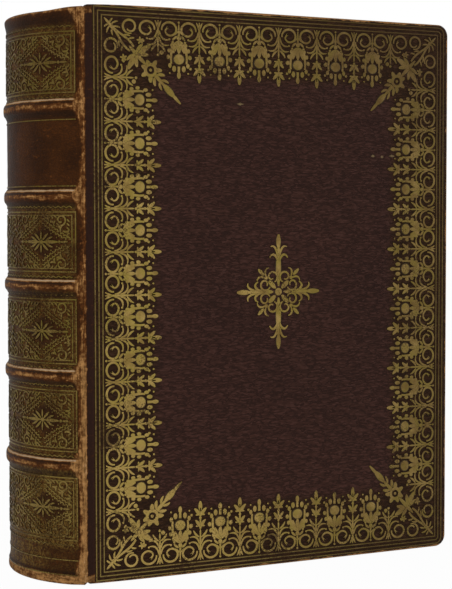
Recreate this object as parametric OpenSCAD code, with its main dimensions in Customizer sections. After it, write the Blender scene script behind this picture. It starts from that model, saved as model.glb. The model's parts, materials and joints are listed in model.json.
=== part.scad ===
// Antique leather-bound book, standing upright as it would on a shelf.
// The back of the book is rounded and carries raised bands, the covers swing on leather joints, and
// the sewn pages are one block between them. Gold tooling frames both covers and fills the panels of
// the spine. X runs from the spine to the fore edge, the front cover faces -Y, and Z is up.

/* [Covers] */
// Height of the covers
cover_h = 250; // [200:1:320]
// Width of a cover, from its joint to its fore edge
cover_w = 184.4; // [140:0.1:230]
// Thickness of the closed book over both covers
book_t = 76; // [56:1:96]
// Thickness of the millboard inside each cover
board_t = 3; // [2.4:0.1:4]
// Radius of the covers' fore-edge corners
corner_r = 4; // [2:0.5:8]
// Rounding of the covers' edges in section
edge_r = 1.1; // [0.8:0.05:1.2]
// How far the covers reach past the pages at head, tail and fore edge
square_w = 5.5; // [3:0.5:6.5]

/* [Leather] */
// Thickness of the covering leather
leather_t = 0.9; // [0.7:0.05:1.2]
// Thickness of the pared leather turned in over the board
turn_in_t = 0.5; // [0.4:0.05:0.7]
// Width of the leather turned in over the inside of the board
turn_in_w = 14; // [8:1:22]
// Radius of the rubbed leather ridge along each joint
joint_r = 0.9; // [0.7:0.05:1]
// Gap between the ridge and the edge of the cover that swings round it
joint_gap = 0.3; // [0.2:0.05:0.5]
// Depth of the hinge line below the face of the cover
hinge_depth = 0.3; // [0.1:0.05:0.4]
// Width of the caps of leather turned over the ends of the spine
cap_w = 3.4; // [2:0.2:4.4]
// Rounding of the caps' outer edge
cap_r = 1.8; // [1:0.1:2.4]

/* [Spine] */
// Height of the round of the spine above the joints
round_h = 20; // [14:0.5:26]
// How far the head of the spine stands below the head of the covers
head_drop = 3; // [0:0.25:4]
// Height of a raised band above the panels
band_rise = 1.7; // [1:0.1:2.6]
// Length over which each end of a band slopes down to the joint
band_slope = 4.5; // [3:0.25:7]
// Height at which a band runs on over the joint
band_end = 0.15; // [0.1:0.05:0.4]
// Width of a raised band at its foot
band_w = 6; // [5:0.25:8]
// Height of the lowest band above the tail, where the last panel is the tallest
tail_panel_h = 51.6; // [40:0.2:60]
// Distance from the highest band to the head of the covers
head_panel_h = 43.8; // [34:0.2:52]
// Thickness of the paper tube between the leather and the lined back
hollow_t = 0.8; // [0.5:0.05:1.2]
// Thickness of the cloth and paper lining glued to the sewn back
lining_t = 0.8; // [0.5:0.05:1.2]

/* [Pages] */
// Depth of the hollow along the fore edge of the pages
fore_edge_hollow = 12; // [6:0.5:16]
// Thickness of a flyleaf
flyleaf_t = 0.3; // [0.2:0.05:0.5]
// Gap between a closed cover and its flyleaf
close_gap = 0.3; // [0.2:0.05:0.5]
// Radius of a sewing cord
cord_r = 1; // [0.7:0.05:1.3]
// Height of the silk endbands above the pages
endband_h = 1.5; // [1:0.1:2]

/* [Gold tooling] */
// Thickness of the gold shown on the leather
gilt_t = 0.12; // [0.08:0.01:0.2]
// Width of a tooled line
line_w = 0.5; // [0.3:0.05:0.8]
// Distance from one tooled line to the next
line_pitch = 1.75; // [1.4:0.05:2.2]
// Distance from the head and tail of the cover to its first line
line_margin = 1.3; // [1.3:0.1:2.4]
// Distance from the fore edge of the cover to its first line
fore_margin = 2.4; // [1.5:0.1:3.5]
// Distance from the joint to the first line, past the groove that the cover bends in
joint_margin = 3; // [2:0.1:5]
// Distance from one flower of the border to the next
flower_pitch = 18.8; // [15:0.1:24]
// Depth of the border from its inner line to the tips of its flowers
border_w = 26; // [22:0.5:30]
// Width of the device at the middle of the front cover
device_w = 42; // [30:1:56]
// Height of the device at the middle of the front cover
device_h = 52; // [36:1:64]
// Height of the lowest panel's frame above the tail
tail_frame_z = 18.6; // [13:0.2:22]
// Distance from the highest panel's frame to the head of the covers
head_frame_z = 11.8; // [8:0.2:16]
// Distance from a band to the frame of the panel beside it
frame_gap = 4; // [2:0.1:5]
// Distance from the edge of the spine leather to the panels' frames
frame_margin = 1.7; // [1:0.1:6]
// Distance along the leather from the middle of a panel to each of its two ornaments
ornament_side = 23.7; // [18:0.1:28]

/* [Hidden] */
$fn = 48;
spine_sides = 60;
eps = 0.01;
band_count = 5;
line_count = 3;

// The cover in section, from its outer face inwards
half_t = book_t / 2;
cover_t = leather_t + board_t + turn_in_t;
cover_x0 = joint_r + joint_gap;
board_x0 = cover_x0 + 0.4;
hinge_y = half_t - hinge_depth;
// The corner of a cover is cut back and eased where it meets the joint
nick_w = 3;
nick_h = 1.4;
ease_w = 30;
ease_h = 0.6;

// The spine is an arc through both joints, and its layers share one centre
spine_r = (half_t * half_t + round_h * round_h) / (2 * round_h);
spine_x = spine_r - round_h;
hollow_r = spine_r - leather_t;
lining_r = hollow_r - hollow_t;
back_r = lining_r - lining_t;
spine_angle = asin(half_t / spine_r);
spine_h = cover_h - head_drop;
spine_edge_y = half_t - 0.7;
band_pitch = (cover_h - tail_panel_h - head_panel_h) / (band_count - 1);
band_z = [for (i = [0:band_count - 1]) tail_panel_h + i * band_pitch];

// The pages
page_h = cover_h - 2 * square_w;
text_half = half_t - cover_t - close_gap - flyleaf_t;
fore_x = cover_w - square_w;
fore_r = (text_half * text_half + fore_edge_hollow * fore_edge_hollow) / (2 * fore_edge_hollow);
layer_x = -0.2;
shoulder_x = 0.6;
cord_angle = asin(text_half / back_r) - 2;

// The whole book is centred over its own foot
book_x = (cover_w - round_h - band_rise) / 2;

// Frame that the tooled lines and the border of a cover follow: low corner and size
function frame_low(d) = [cover_x0 + joint_margin + d, line_margin + d];
function frame_high(d) = [cover_w - fore_margin - d, cover_h - line_margin - d];
line_inset = (line_count - 1) * line_pitch + line_w;

// Points along an arc from angle a to angle b
function arc(x, y, r, a, b, steps) =
    [for (i = [0:steps]) let (t = a + (b - a) * i / steps) [x + r * cos(t), y + r * sin(t)]];

// Outline of a cover in its own plane, inset all round, from the joint to the fore edge
function cover_outline(x0, inset) = let (
    r = corner_r - inset,
    x1 = cover_w - inset,
    z0 = inset,
    z1 = cover_h - inset
) concat(
    [[x0, z0 + nick_h], [x0 + nick_w, z0 + ease_h], [x0 + ease_w, z0]],
    arc(x1 - r, z0 + r, r, -90, 0, 5),
    arc(x1 - r, z1 - r, r, 0, 90, 5),
    [[x0 + ease_w, z1], [x0 + nick_w, z1 - ease_h], [x0, z1 - nick_h]]);

// Height of a band's blunt, rounded section at a share s of its half width
function band_curve(s) = pow(1 - pow(abs(s), 3), 0.5);

// X of a point on a circle of radius r about the axis of the spine
function arc_x(r, y) = spine_x - sqrt(r * r - y * y);

// Section of one band on a surface of radius r. Its sides are carried on into the surface by sink
function band_points(r, z, width, rise, sink) = let (
    foot = 1 + (1 - 0.95) * sink / (rise * band_curve(0.95))
) [for (s = [-foot, -0.95, -0.78, -0.42, 0, 0.42, 0.78, 0.95, foot])
    [abs(s) < 1 ? r + rise * band_curve(s) : r - sink, z + s * width / 2]];

// Places what is drawn about the joints so that the book stands over its origin
module placed() {
    translate([-book_x, 0, 0]) children();
}

// The back cover is the front one mirrored
module back_side() {
    mirror([0, 1, 0]) children();
}

// Turns a section through the arc of the spine, on to the first whole facet past both joints
module spine_turn() {
    facet = 360 / spine_sides;
    angle = (floor(spine_angle / facet) + 1) * facet;
    translate([spine_x, 0, 0])
        rotate([0, 0, 180 - angle])
            rotate_extrude(angle = 2 * angle, $fn = spine_sides) children();
}

// Keeps what lies within an angle each side of the middle of the spine
module spine_sector(angle) {
    intersection() {
        children();
        translate([spine_x, 0, -cover_h])
            linear_extrude(3 * cover_h)
                polygon([[0, 0], [-2 * spine_r, -2 * spine_r * tan(angle)],
                         [-2 * spine_r, 2 * spine_r * tan(angle)]]);
    }
}

// Keeps what lies on the spine side of the joints, within y_limit of the middle
module spine_side(x_limit, y_limit) {
    intersection() {
        children();
        translate([-2 * round_h, -y_limit, -cover_h])
            cube([2 * round_h + x_limit, 2 * y_limit, 3 * cover_h]);
    }
}

// Extrudes an outline drawn in X and Z towards -Y, from depth y0 to depth y1 behind the middle
module slab(y0, y1) {
    translate([0, -y0, 0])
        rotate([90, 0, 0])
            linear_extrude(y1 - y0) children();
}

// A cover's solid with all its edges rounded
module rounded_cover() {
    low = half_t - cover_t;
    intersection() {
        slab(low, half_t) polygon(cover_outline(cover_x0, 0));
        translate([0, -half_t, 0])
            linear_extrude(cover_h)
                polygon(concat(
                    [[cover_x0, 0]],
                    arc(cover_w - edge_r, edge_r, edge_r, -90, 0, 4),
                    arc(cover_w - edge_r, cover_t - edge_r, edge_r, 0, 90, 4),
                    [[cover_x0, cover_t]]));
        translate([0, -half_t, 0])
            rotate([90, 0, 90])
                linear_extrude(cover_w)
                    polygon(concat(
                        arc(edge_r, edge_r, edge_r, -180, -90, 4),
                        arc(cover_t - edge_r, edge_r, edge_r, -90, 0, 4),
                        arc(cover_t - edge_r, cover_h - edge_r, edge_r, 0, 90, 4),
                        arc(edge_r, cover_h - edge_r, edge_r, 90, 180, 4)));
    }
}

// Millboard
module board() {
    color("#8a7a63")
        slab(half_t - leather_t - board_t, half_t - leather_t)
            polygon(cover_outline(board_x0, leather_t));
}

// Window inside the turned-in leather, which the pastedown fills
module pastedown_outline() {
    translate([cover_x0, turn_in_w])
        square([cover_w - turn_in_w - cover_x0, cover_h - 2 * turn_in_w]);
}

// Covering leather, wrapped round the board and turned in at head, tail and fore edge
module cover_leather() {
    color("#3a2320")
        difference() {
            rounded_cover();
            slab(half_t - leather_t - board_t, half_t - leather_t)
                polygon(cover_outline(cover_x0 - eps, leather_t));
            slab(half_t - cover_t - eps, half_t - leather_t - board_t + eps) pastedown_outline();
        }
}

// Endpaper pasted to the inside of the board, level with the leather round it
module pastedown() {
    color("#cdbb94")
        slab(half_t - cover_t, half_t - leather_t - board_t) pastedown_outline();
}

// Loose endpaper on the pages
module flyleaf() {
    color("#d2c19b")
        slab(text_half, text_half + flyleaf_t)
            translate([shoulder_x + 0.4, square_w]) square([fore_x - shoulder_x - 0.4, page_h]);
}

// Sewn pages, with a shoulder each side and a hollowed fore edge. One cut rounds the back and saws
// it across for the cords
module text_block() {
    color("#d9c8a0")
        difference() {
            translate([0, 0, square_w])
                linear_extrude(page_h)
                    difference() {
                        polygon([
                            [-round_h, -half_t], [layer_x, -half_t], [shoulder_x, -text_half],
                            [fore_x, -text_half], [fore_x, text_half],
                            [shoulder_x, text_half], [layer_x, half_t], [-round_h, half_t]]);
                        translate([fore_x + fore_r - fore_edge_hollow, 0])
                            circle(r = fore_r, $fn = spine_sides);
                    }
            spine_turn() {
                translate([back_r, 0]) square([half_t, cover_h]);
                for (z = band_z) translate([cord_centre_r, z]) circle(r = cord_r, $fn = 24);
            }
        }
}

// Centre of a sewing cord, sunk in the sawn back so that it lies flush
cord_centre_r = back_r - 0.7 * cord_r;

// Hemp cord that the gatherings are sewn on
module sewing_cord(z) {
    color("#c9b68a")
        spine_sector(cord_angle)
            spine_turn()
                intersection() {
                    translate([cord_centre_r, z]) circle(r = cord_r, $fn = 24);
                    translate([back_r - 4 * cord_r, z - 2 * cord_r])
                        square([4 * cord_r, 4 * cord_r]);
                }
}

// One bent layer of the back, between two radii, a little shorter than the pages
module back_layer(r_in, r_out) {
    spine_side(layer_x, half_t)
        spine_turn()
            translate([r_in, square_w + 1]) square([r_out - r_in, page_h - 2]);
}

// Cloth and paper glued to the sewn back
module spine_lining() {
    color("#b9ab8b") back_layer(back_r, lining_r);
}

// Flat paper tube that lets the leather spring off the back as the book opens
module spine_hollow() {
    color("#a08a63") back_layer(lining_r, hollow_r);
}

// Plan that slopes both ends of a band down to a low step, which runs on past the joints
module band_plan(r, rise) {
    foot_y = spine_edge_y - 1;
    top_y = foot_y - band_slope;
    out_y = top_y - band_slope;
    foot_x = arc_x(r + band_end, foot_y);
    top_x = arc_x(r + rise, top_y);
    out_x = foot_x + (top_x - foot_x) / (top_y - foot_y) * (out_y - foot_y);
    half = [[out_x - rise, out_y], [out_x, out_y], [foot_x, foot_y],
            [arc_x(r + band_end, half_t), half_t], [spine_x, half_t]];
    polygon(concat(
        [[-2 * round_h, 0]],
        half,
        [for (i = [len(half) - 1:-1:0]) [half[i][0], -half[i][1]]]));
}

// Band of a width and rise on a surface of radius r, with its ends sloped down. Its foot is sunk
// into that surface where it is joined to it or cuts it
module band(r, z, width, rise, sink) {
    intersection() {
        spine_turn() polygon(band_points(r, z, width, rise, sink));
        linear_extrude(cover_h) band_plan(r, rise);
    }
}

// What fills the moulded leather over one band, between the two joints
module band_filling(z, sink) {
    spine_side(0, spine_edge_y) band(hollow_r, z, band_w - 2 * leather_t, band_rise, sink);
}

// Strip under the leather that makes a raised band
module raised_band(z) {
    color("#7b5a38") band_filling(z, 0);
}

// Section of the spine leather without its bands, with a rounded cap turned in at each end
function spine_points() = concat(
    [[hollow_r - cap_w, 0]],
    arc(spine_r - cap_r, cap_r, cap_r, -90, 0, 4),
    arc(spine_r - cap_r, spine_h - cap_r, cap_r, 0, 90, 4),
    [[hollow_r - cap_w, spine_h], [hollow_r - cap_w, spine_h - leather_t]],
    arc(hollow_r - cap_r, spine_h - leather_t - cap_r, cap_r, 90, 0, 4),
    arc(hollow_r - cap_r, leather_t + cap_r, cap_r, 0, -90, 4),
    [[hollow_r - cap_w, leather_t]]);

// Leather over the back, moulded over the bands, with the ridge that each cover turns about
module spine_leather() {
    color("#4a2f1c")
        difference() {
            union() {
                spine_side(0, spine_edge_y) {
                    spine_turn() polygon(spine_points());
                    for (z = band_z) band(spine_r, z, band_w, band_rise, leather_t / 2);
                }
                for (side = [-1, 1])
                    translate([0, side * hinge_y, nick_h])
                        cylinder(r = joint_r, h = cover_h - 2 * nick_h);
            }
            for (z = band_z) band_filling(z, leather_t / 2);
        }
}

// Silk worked over a cord, standing on the pages and kept clear of the turned cap
module endband(z) {
    foot = 2.4;
    height = min(endband_h, square_w - head_drop - leather_t - 0.1);
    color("#8c2f2a")
        spine_sector(cord_angle)
            spine_turn()
                translate([back_r - foot / 2, z])
                    polygon([for (a = [0:22.5:180]) [foot / 2 * cos(a), height * sin(a)]]);
}

// Pointed leaf of the tooling, lying along X from the origin
module leaf(length, width) {
    polygon([[0, 0], [0.4 * length, -0.5 * width], [length, 0], [0.4 * length, 0.5 * width]]);
}

// Longer leaf with fuller sides, for the large motifs
module blade(length, width) {
    polygon([[0, 0], [0.3 * length, -0.5 * width], [0.7 * length, -0.36 * width], [length, 0],
             [0.7 * length, 0.36 * width], [0.3 * length, 0.5 * width]]);
}

// Oval seed of the tooling, centred on the origin
module seed(length, width) {
    polygon([for (a = [0:60:300]) [length / 2 * cos(a), width / 2 * sin(a)]]);
}

// Hooked scroll of the tooling, open towards +X, thick in the middle and fine at its ends
module scroll(r, thick) {
    steps = 4;
    turn = 115;
    inner = [for (i = [0:steps]) let (
        a = 180 - turn + 2 * turn * i / steps,
        w = thick * (0.3 + 0.7 * sin(180 * i / steps))
    ) [(r - w) * cos(a), (r - w) * sin(a)]];
    polygon(concat(
        arc(0, 0, r, 180 - turn, 180 + turn, steps),
        [for (i = [steps:-1:0]) inner[i]]));
}

// Outline that is the same on both sides of the X axis, from the points of one side
module both_sides(side) {
    polygon(concat(
        side,
        [for (i = [len(side) - 1:-1:0]) if (side[i][1] > 0) [side[i][0], -side[i][1]]]));
}

// Full flower of the border, growing along X from the inner tooled line: two leaves, an oval
// between them and a pointed tip
module full_flower() {
    both_sides(border_w * [
        [0.28, 0], [0.5, 0.17], [0.51, 0.06], [0.63, 0.12], [0.75, 0.035], [0.98, 0]]);
}

// Slim flower between two full ones: a stem with two leaves and a long bud, as tall as reach
module slim_flower(reach) {
    both_sides(border_w * [[0.1, 0], [0.42, 0.13], [0.5, 0.045], [reach, 0]]);
}

// The two scrolls at the foot of a full flower
module scroll_pair() {
    scroll_r = 0.125 * border_w;
    for (side = [-1, 1])
        translate([scroll_r + 0.6, side * flower_pitch / 4])
            rotate([0, 0, side * 60]) scroll(scroll_r, 0.04 * border_w);
}

// One side of the border, drawn along Y from the middle, growing along X, with or without scrolls
module border_side(length, scrolls) {
    room = length - 2 * border_w;
    count = max(1, round(room / flower_pitch));
    pitch = room / count;
    for (i = [0:count - 1])
        translate([0, (i - (count - 1) / 2) * pitch]) {
            full_flower();
            if (scrolls) scroll_pair();
        }
    for (i = [0:count])
        translate([0, (i - count / 2) * pitch])
            slim_flower(i == 0 || i == count ? 0.66 : 1);
}

// Spear of leaves that fills a corner of the border, along its diagonal
module corner_spear() {
    translate([0.1 * border_w, 0]) blade(0.42 * border_w, 0.12 * border_w);
    translate([0.66 * border_w, 0]) seed(0.2 * border_w, 0.3 * border_w);
    translate([0.98 * border_w, 0]) seed(0.3 * border_w, 0.26 * border_w);
    translate([1.17 * border_w, 0]) blade(0.66 * border_w, 0.11 * border_w);
    for (side = [-1, 1]) {
        translate([0.46 * border_w, side * 0.1 * border_w])
            rotate([0, 0, side * 52]) leaf(0.3 * border_w, 0.12 * border_w);
        translate([0.34 * border_w, side * 0.2 * border_w])
            rotate([0, 0, side * 45]) scroll(0.1 * border_w, 0.03 * border_w);
    }
}

// Cross of leaves at the middle of the front cover, with a scroll and a seed in each quarter
module centre_device() {
    unit = device_w / 12;
    seed(2.6 * unit, 2 * unit);
    for (turn = [0:3])
        rotate([0, 0, 90 * turn]) {
            reach = (turn % 2 == 0 ? device_w : device_h) / 2;
            translate([1.7 * unit, 0]) blade(reach - 3 * unit, 1.3 * unit);
            translate([reach - unit, 0]) leaf(unit, 0.7 * unit);
            rotate([0, 0, 45]) {
                translate([2.1 * unit, 0]) rotate([0, 0, 180]) scroll(0.9 * unit, 0.3 * unit);
                translate([3.5 * unit, 0]) seed(0.5 * unit, 0.5 * unit);
            }
        }
}

// Gold on the outer face of a cover
module gilt() {
    color("#9c8040") slab(half_t, half_t + gilt_t) children();
}

// Parallel lines round the cover
module gilt_lines() {
    gilt()
        for (i = [0:line_count - 1]) {
            low = frame_low(i * line_pitch);
            high = frame_high(i * line_pitch);
            difference() {
                translate(low) square(high - low);
                translate(low + [line_w, line_w]) square(high - low - 2 * [line_w, line_w]);
            }
        }
}

// Border of flowers inside the lines, on all four sides. The back cover's has no scrolls
module gilt_border(scrolls) {
    low = frame_low(line_inset);
    high = frame_high(line_inset);
    mid = (low + high) / 2;
    size = high - low;
    gilt() {
        translate([low[0], mid[1]]) border_side(size[1], scrolls);
        translate([high[0], mid[1]]) rotate([0, 0, 180]) border_side(size[1], scrolls);
        translate([mid[0], low[1]]) rotate([0, 0, 90]) border_side(size[0], scrolls);
        translate([mid[0], high[1]]) rotate([0, 0, -90]) border_side(size[0], scrolls);
    }
}

// A spear in each corner of the border
module gilt_corners() {
    low = frame_low(line_inset);
    high = frame_high(line_inset);
    gilt()
        for (x = [0, 1], z = [0, 1])
            translate([x == 0 ? low[0] : high[0], z == 0 ? low[1] : high[1]])
                rotate([0, 0, atan2(z == 0 ? 1 : -1, x == 0 ? 1 : -1)])
                    translate([1, 0]) corner_spear();
}

// Device in the middle of the front cover
module gilt_centre() {
    low = frame_low(0);
    high = frame_high(0);
    gilt() translate((low + high) / 2) centre_device();
}

// The panels between the bands, from tail to head, and the one left plain for a title
panel_low = concat([tail_frame_z], [for (z = band_z) z + band_w / 2 + frame_gap]);
panel_high = concat([for (z = band_z) z - band_w / 2 - frame_gap], [cover_h - head_frame_z]);
title_panel = band_count - 1;
panel_half_w = spine_edge_y - frame_margin;

// Gold laid on the arc of the spine, drawn in Y and Z about a line at an angle round the arc
module on_spine(angle) {
    intersection() {
        translate([spine_x, 0, 0])
            rotate([0, 0, angle])
                translate([-spine_x, 0, 0])
                    rotate([90, 0, -90])
                        linear_extrude(2 * round_h) children();
        spine_turn() translate([spine_r, 0]) square([gilt_t, cover_h]);
    }
}

// Frame of one panel
module panel_frame(low, high) {
    difference() {
        translate([-panel_half_w, low]) square([2 * panel_half_w, high - low]);
        translate([-panel_half_w + line_w, low + line_w])
            square([2 * (panel_half_w - line_w), high - low - 2 * line_w]);
    }
}

// Cross of four leaves with a leaf in each of its corners
module panel_ornament(half_w, half_h) {
    for (turn = [0:3])
        rotate([0, 0, 90 * turn])
            translate([0.08 * half_h, 0])
                leaf(0.8 * (turn % 2 == 0 ? half_w : half_h), 0.24 * half_h);
    for (x = [-1, 1], z = [-1, 1])
        translate([x * half_w, z * half_h])
            rotate([0, 0, atan2(-z, -x)]) leaf(0.75 * half_h, 0.32 * half_h);
}

// Lines and flowers on the panels of the spine, two ornaments side by side on each panel
module spine_gilding() {
    side_angle = ornament_side / spine_r * 180 / PI;
    half_w = 0.62 * spine_r * (spine_angle - side_angle) * PI / 180;
    color("#8f7438") {
        on_spine(0) {
            for (i = [0:band_count])
                if (i == title_panel)
                    for (z = [panel_low[i] - frame_gap / 2, panel_high[i] + frame_gap / 2 - line_w])
                        translate([-panel_half_w, z]) square([2 * panel_half_w, line_w]);
                else {
                    panel_h = panel_high[i] - panel_low[i];
                    panel_frame(panel_low[i], panel_high[i]);
                    translate([0, panel_low[i] + 0.15 * panel_h])
                        rotate([0, 0, 90]) leaf(0.7 * panel_h, 0.14 * panel_h);
                }
            translate([-panel_half_w, 0.6 * tail_frame_z]) square([2 * panel_half_w, line_w]);
        }
        for (angle = [-side_angle, side_angle])
            on_spine(angle)
                for (i = [0:band_count])
                    if (i != title_panel)
                        translate([0, (panel_low[i] + panel_high[i]) / 2])
                            panel_ornament(half_w, 0.4 * (panel_high[i] - panel_low[i]));
    }
}

placed() text_block();
placed() spine_lining();
placed() spine_hollow();
placed() spine_leather();
placed() spine_gilding();
placed() endband(cover_h - square_w);  // headband
placed() mirror([0, 0, 1]) endband(-square_w);  // tailband
placed() flyleaf();  // front_flyleaf
placed() back_side() flyleaf();  // back_flyleaf
for (i = [1:band_count]) {
    placed() sewing_cord(band_z[i - 1]);
    placed() raised_band(band_z[i - 1]);
}
placed() board();  // front_board
placed() cover_leather();  // front_leather
placed() pastedown();  // front_pastedown
placed() gilt_lines();  // front_gilt_lines
placed() gilt_border(true);  // front_gilt_border
placed() gilt_corners();  // front_gilt_corners
placed() gilt_centre();  // front_gilt_centre
placed() back_side() board();  // back_board
placed() back_side() cover_leather();  // back_leather
placed() back_side() pastedown();  // back_pastedown
placed() back_side() gilt_lines();  // back_gilt_lines
placed() back_side() gilt_border(false);  // back_gilt_border
placed() back_side() gilt_corners();  // back_gilt_corners
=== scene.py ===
import functools
import json
import math

import bmesh
import bpy
from bpy.props import FloatProperty, FloatVectorProperty, PointerProperty
from mathutils import Matrix, Quaternion, Vector, noise


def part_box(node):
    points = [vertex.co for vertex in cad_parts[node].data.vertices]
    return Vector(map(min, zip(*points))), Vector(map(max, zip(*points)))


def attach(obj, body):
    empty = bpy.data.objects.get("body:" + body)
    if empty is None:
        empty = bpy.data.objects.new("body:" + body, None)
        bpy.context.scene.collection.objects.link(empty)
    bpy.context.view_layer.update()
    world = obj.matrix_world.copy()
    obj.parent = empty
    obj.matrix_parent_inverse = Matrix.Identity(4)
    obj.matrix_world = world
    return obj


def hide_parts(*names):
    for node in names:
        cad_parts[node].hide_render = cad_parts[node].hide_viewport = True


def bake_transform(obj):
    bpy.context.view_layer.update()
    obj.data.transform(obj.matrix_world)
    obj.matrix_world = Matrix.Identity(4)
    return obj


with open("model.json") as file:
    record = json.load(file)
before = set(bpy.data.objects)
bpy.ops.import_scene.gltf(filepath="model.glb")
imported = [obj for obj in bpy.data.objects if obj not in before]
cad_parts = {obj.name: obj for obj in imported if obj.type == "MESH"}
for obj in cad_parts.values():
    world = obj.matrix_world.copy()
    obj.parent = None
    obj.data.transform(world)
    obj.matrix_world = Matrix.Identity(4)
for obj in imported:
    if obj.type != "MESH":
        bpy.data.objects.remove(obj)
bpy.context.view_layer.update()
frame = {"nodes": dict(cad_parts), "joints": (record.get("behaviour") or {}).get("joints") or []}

bl_info = {
    "name": "Antique Leather Book",
    "version": (1, 0, 0),
    "blender": (4, 5, 0),
    "location": "3D View > Sidebar > Book",
    "description": "Dresses a bound book in worn leather, gold tooling and aged paper",
    "category": "Add Mesh",
}

# Sizes of the bound book, in millimetres, from the frame
MM = 0.001
SIDES = {"front": -1, "back": 1}
BAND_COUNT = sum(name.startswith("raised_band_") for name in frame["nodes"])


def box_mm(node):
    """Lowest and highest corner of a CAD node in millimetres."""
    low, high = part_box(node)
    return low / MM, high / MM


JOINT_X = (Vector(frame["joints"][0]["pos_m"]) / MM).x
COVER_LOW, COVER_HIGH = box_mm("back_leather")
COVER_H = COVER_HIGH.z
HALF_T = COVER_HIGH.y
COVER_T = COVER_HIGH.y - COVER_LOW.y
GILT_T = box_mm("back_gilt_lines")[1].y - HALF_T

# The spine is an arc through both joints
ROUND_H = JOINT_X - box_mm("spine_gilding")[0].x - GILT_T
SPINE_R = (HALF_T ** 2 + ROUND_H ** 2) / (2 * ROUND_H)
SPINE_X = JOINT_X - ROUND_H + SPINE_R
SPINE_EDGE = math.asin((HALF_T - 0.7) / SPINE_R)
SPINE_DROP = 3.0
SPINE_H = COVER_H - SPINE_DROP
LEATHER_T = 0.9
BAND_RISE = JOINT_X - ROUND_H - box_mm("spine_leather")[0].x
CAP_R, CAP_W, CAP_FLARE = 1.6, 3.4, 0.8
BAND_W = 6.0
BAND_Z = [(box_mm(f"raised_band_{i + 1}")[0].z + box_mm(f"raised_band_{i + 1}")[1].z) / 2
          for i in range(BAND_COUNT)]

# Wear of a cover: rounded fore corners, head and tail worn lower towards the joint
FORE_CORNER_R, JOINT_CORNER_R, BED_CORNER_R = 5.4, 0.9, 0.5
HEAD_WEAR, TAIL_WEAR, WEAR_REACH = 1.0, 0.5, 17

# The frame of lines that the tooling of a cover follows
LINE_COUNT, LINE_PITCH, LINE_W = 3, 1.75, 0.7
FRAME_LOW, FRAME_HIGH = box_mm("back_gilt_lines")
INNER_INSET = (LINE_COUNT - 1) * LINE_PITCH + 0.5
FRAME_MID = (FRAME_LOW + FRAME_HIGH) / 2
INNER_HALF_W = (FRAME_HIGH.x - FRAME_LOW.x) / 2 - INNER_INSET
INNER_HALF_H = (FRAME_HIGH.z - FRAME_LOW.z) / 2 - INNER_INSET
BORDER_W = 26.0
FLOWER_PITCH = 18.8

# Lowest and highest line of each panel's outer frame, and the plain panel with its two lines only
PANELS = ((19.1, 46.9), (57.6, 84.6), (95.5, 123.9), (135.0, 161.4), (172.1, 200.4), (211.5, 238.0))
PLAIN_PANEL = 4
PANEL_HALF_W = 40.9
BLOCK_X = 23.4

# Where the rubbed strip along a joint starts and ends, round the arc from the spine's middle
STRIP_START, STRIP_END = 42.9, 45.3
# Small scuffs on the front cover: place across, height and half width
SCUFF_H = 0.9
SCUFFS = ((-7.5, 209.1, 2.6), (61.5, 187.2, 1.6), (66.4, 186.9, 1.2), (71.9, 187.4, 2.0))


def srgb(red, green, blue):
    """Linear colour of one given from 0 to 255, as it looks on a screen."""
    def channel(value):
        value /= 255
        return value / 12.92 if value <= 0.04045 else ((value + 0.055) / 1.055) ** 2.4
    return channel(red), channel(green), channel(blue)


def colour_property(name, description, default):
    return FloatVectorProperty(name=name, description=description, subtype="COLOR", size=3,
                               min=0, max=1, default=default)


def length_property(name, description, default, low, high):
    """Length whose default and limits are given in millimetres."""
    return FloatProperty(name=name, description=description, default=default * MM,
                         min=low * MM, max=high * MM, unit="LENGTH")


class LeatherSettings(bpy.types.PropertyGroup):
    cover_colour: colour_property(
        "Cover", "Colour of the leather on the covers", srgb(58, 34, 27))
    border_colour: colour_property(
        "Cover under Gold", "Colour of the leather that the border is tooled on", srgb(50, 29, 9))
    spine_colour: colour_property(
        "Spine", "Colour of the leather on the spine", srgb(64, 34, 10))
    gilt_colour: colour_property(
        "Gilt Haze", "Colour of the worn gold between the tools of the spine", srgb(108, 82, 36))
    # Colour of real worn-through leather, and of the painted highlight along the upper edge of each
    # band.
    bare_and_highlight_colour: colour_property(
        "Bare Edge", "Leather worn through on the edges of the bands", srgb(192, 162, 128))
    rubbed_colour: colour_property(
        "Rubbed", "Colour where the surface is rubbed away", srgb(176, 128, 76))
    grain: length_property("Grain", "Height of one wrinkle of the grain", 0.95, 0.3, 3)
    grain_depth: length_property(
        "Grain Depth", "Depth of the furrows between the wrinkles", 0.2, 0, 0.5)


class GoldSettings(bpy.types.PropertyGroup):
    bright_colour: colour_property(
        "Bright Gold", "Colour of the gold where it is whole", srgb(160, 134, 74))
    dull_colour: colour_property(
        "Dull Gold", "Colour of the gold where it is thin", srgb(116, 93, 42))
    relief: length_property(
        "Relief", "Height of a tooled stroke above the leather", 0.22, 0.05, 0.5)
    worn: FloatProperty(
        name="Worn", description="Share of the gold that is rubbed away",
        default=0.3, min=0, max=1, subtype="FACTOR")


class PaperSettings(bpy.types.PropertyGroup):
    page_colour: colour_property(
        "Pages", "Colour of the pages' edges", srgb(206, 186, 146))
    endpaper_colour: colour_property(
        "Endpapers", "Colour of the endpapers", srgb(205, 189, 152))
    leaf: length_property(
        "Leaf", "Thickness of the layers that show along the pages' edges", 0.5, 0.1, 2)


class StudioSettings(bpy.types.PropertyGroup):
    floor_colour: colour_property(
        "Floor", "Colour of the floor", (0.93, 0.93, 0.92))
    key_power: FloatProperty(
        name="Key", description="Power of the large lamp above the front", default=3.3,
        min=0, max=100, unit="POWER")
    fill_power: FloatProperty(
        name="Fill", description="Power of the lamp beside the fore edge", default=2.0,
        min=0, max=100, unit="POWER")
    lens: FloatProperty(
        name="Lens", description="Focal length of the camera, in millimetres", default=91.38,
        min=20, max=300)


# Meshes

def linked(name, data):
    """Object of a mesh, a lamp or a camera, put in the scene."""
    obj = bpy.data.objects.new(name, data)
    bpy.context.scene.collection.objects.link(obj)
    return obj


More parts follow.
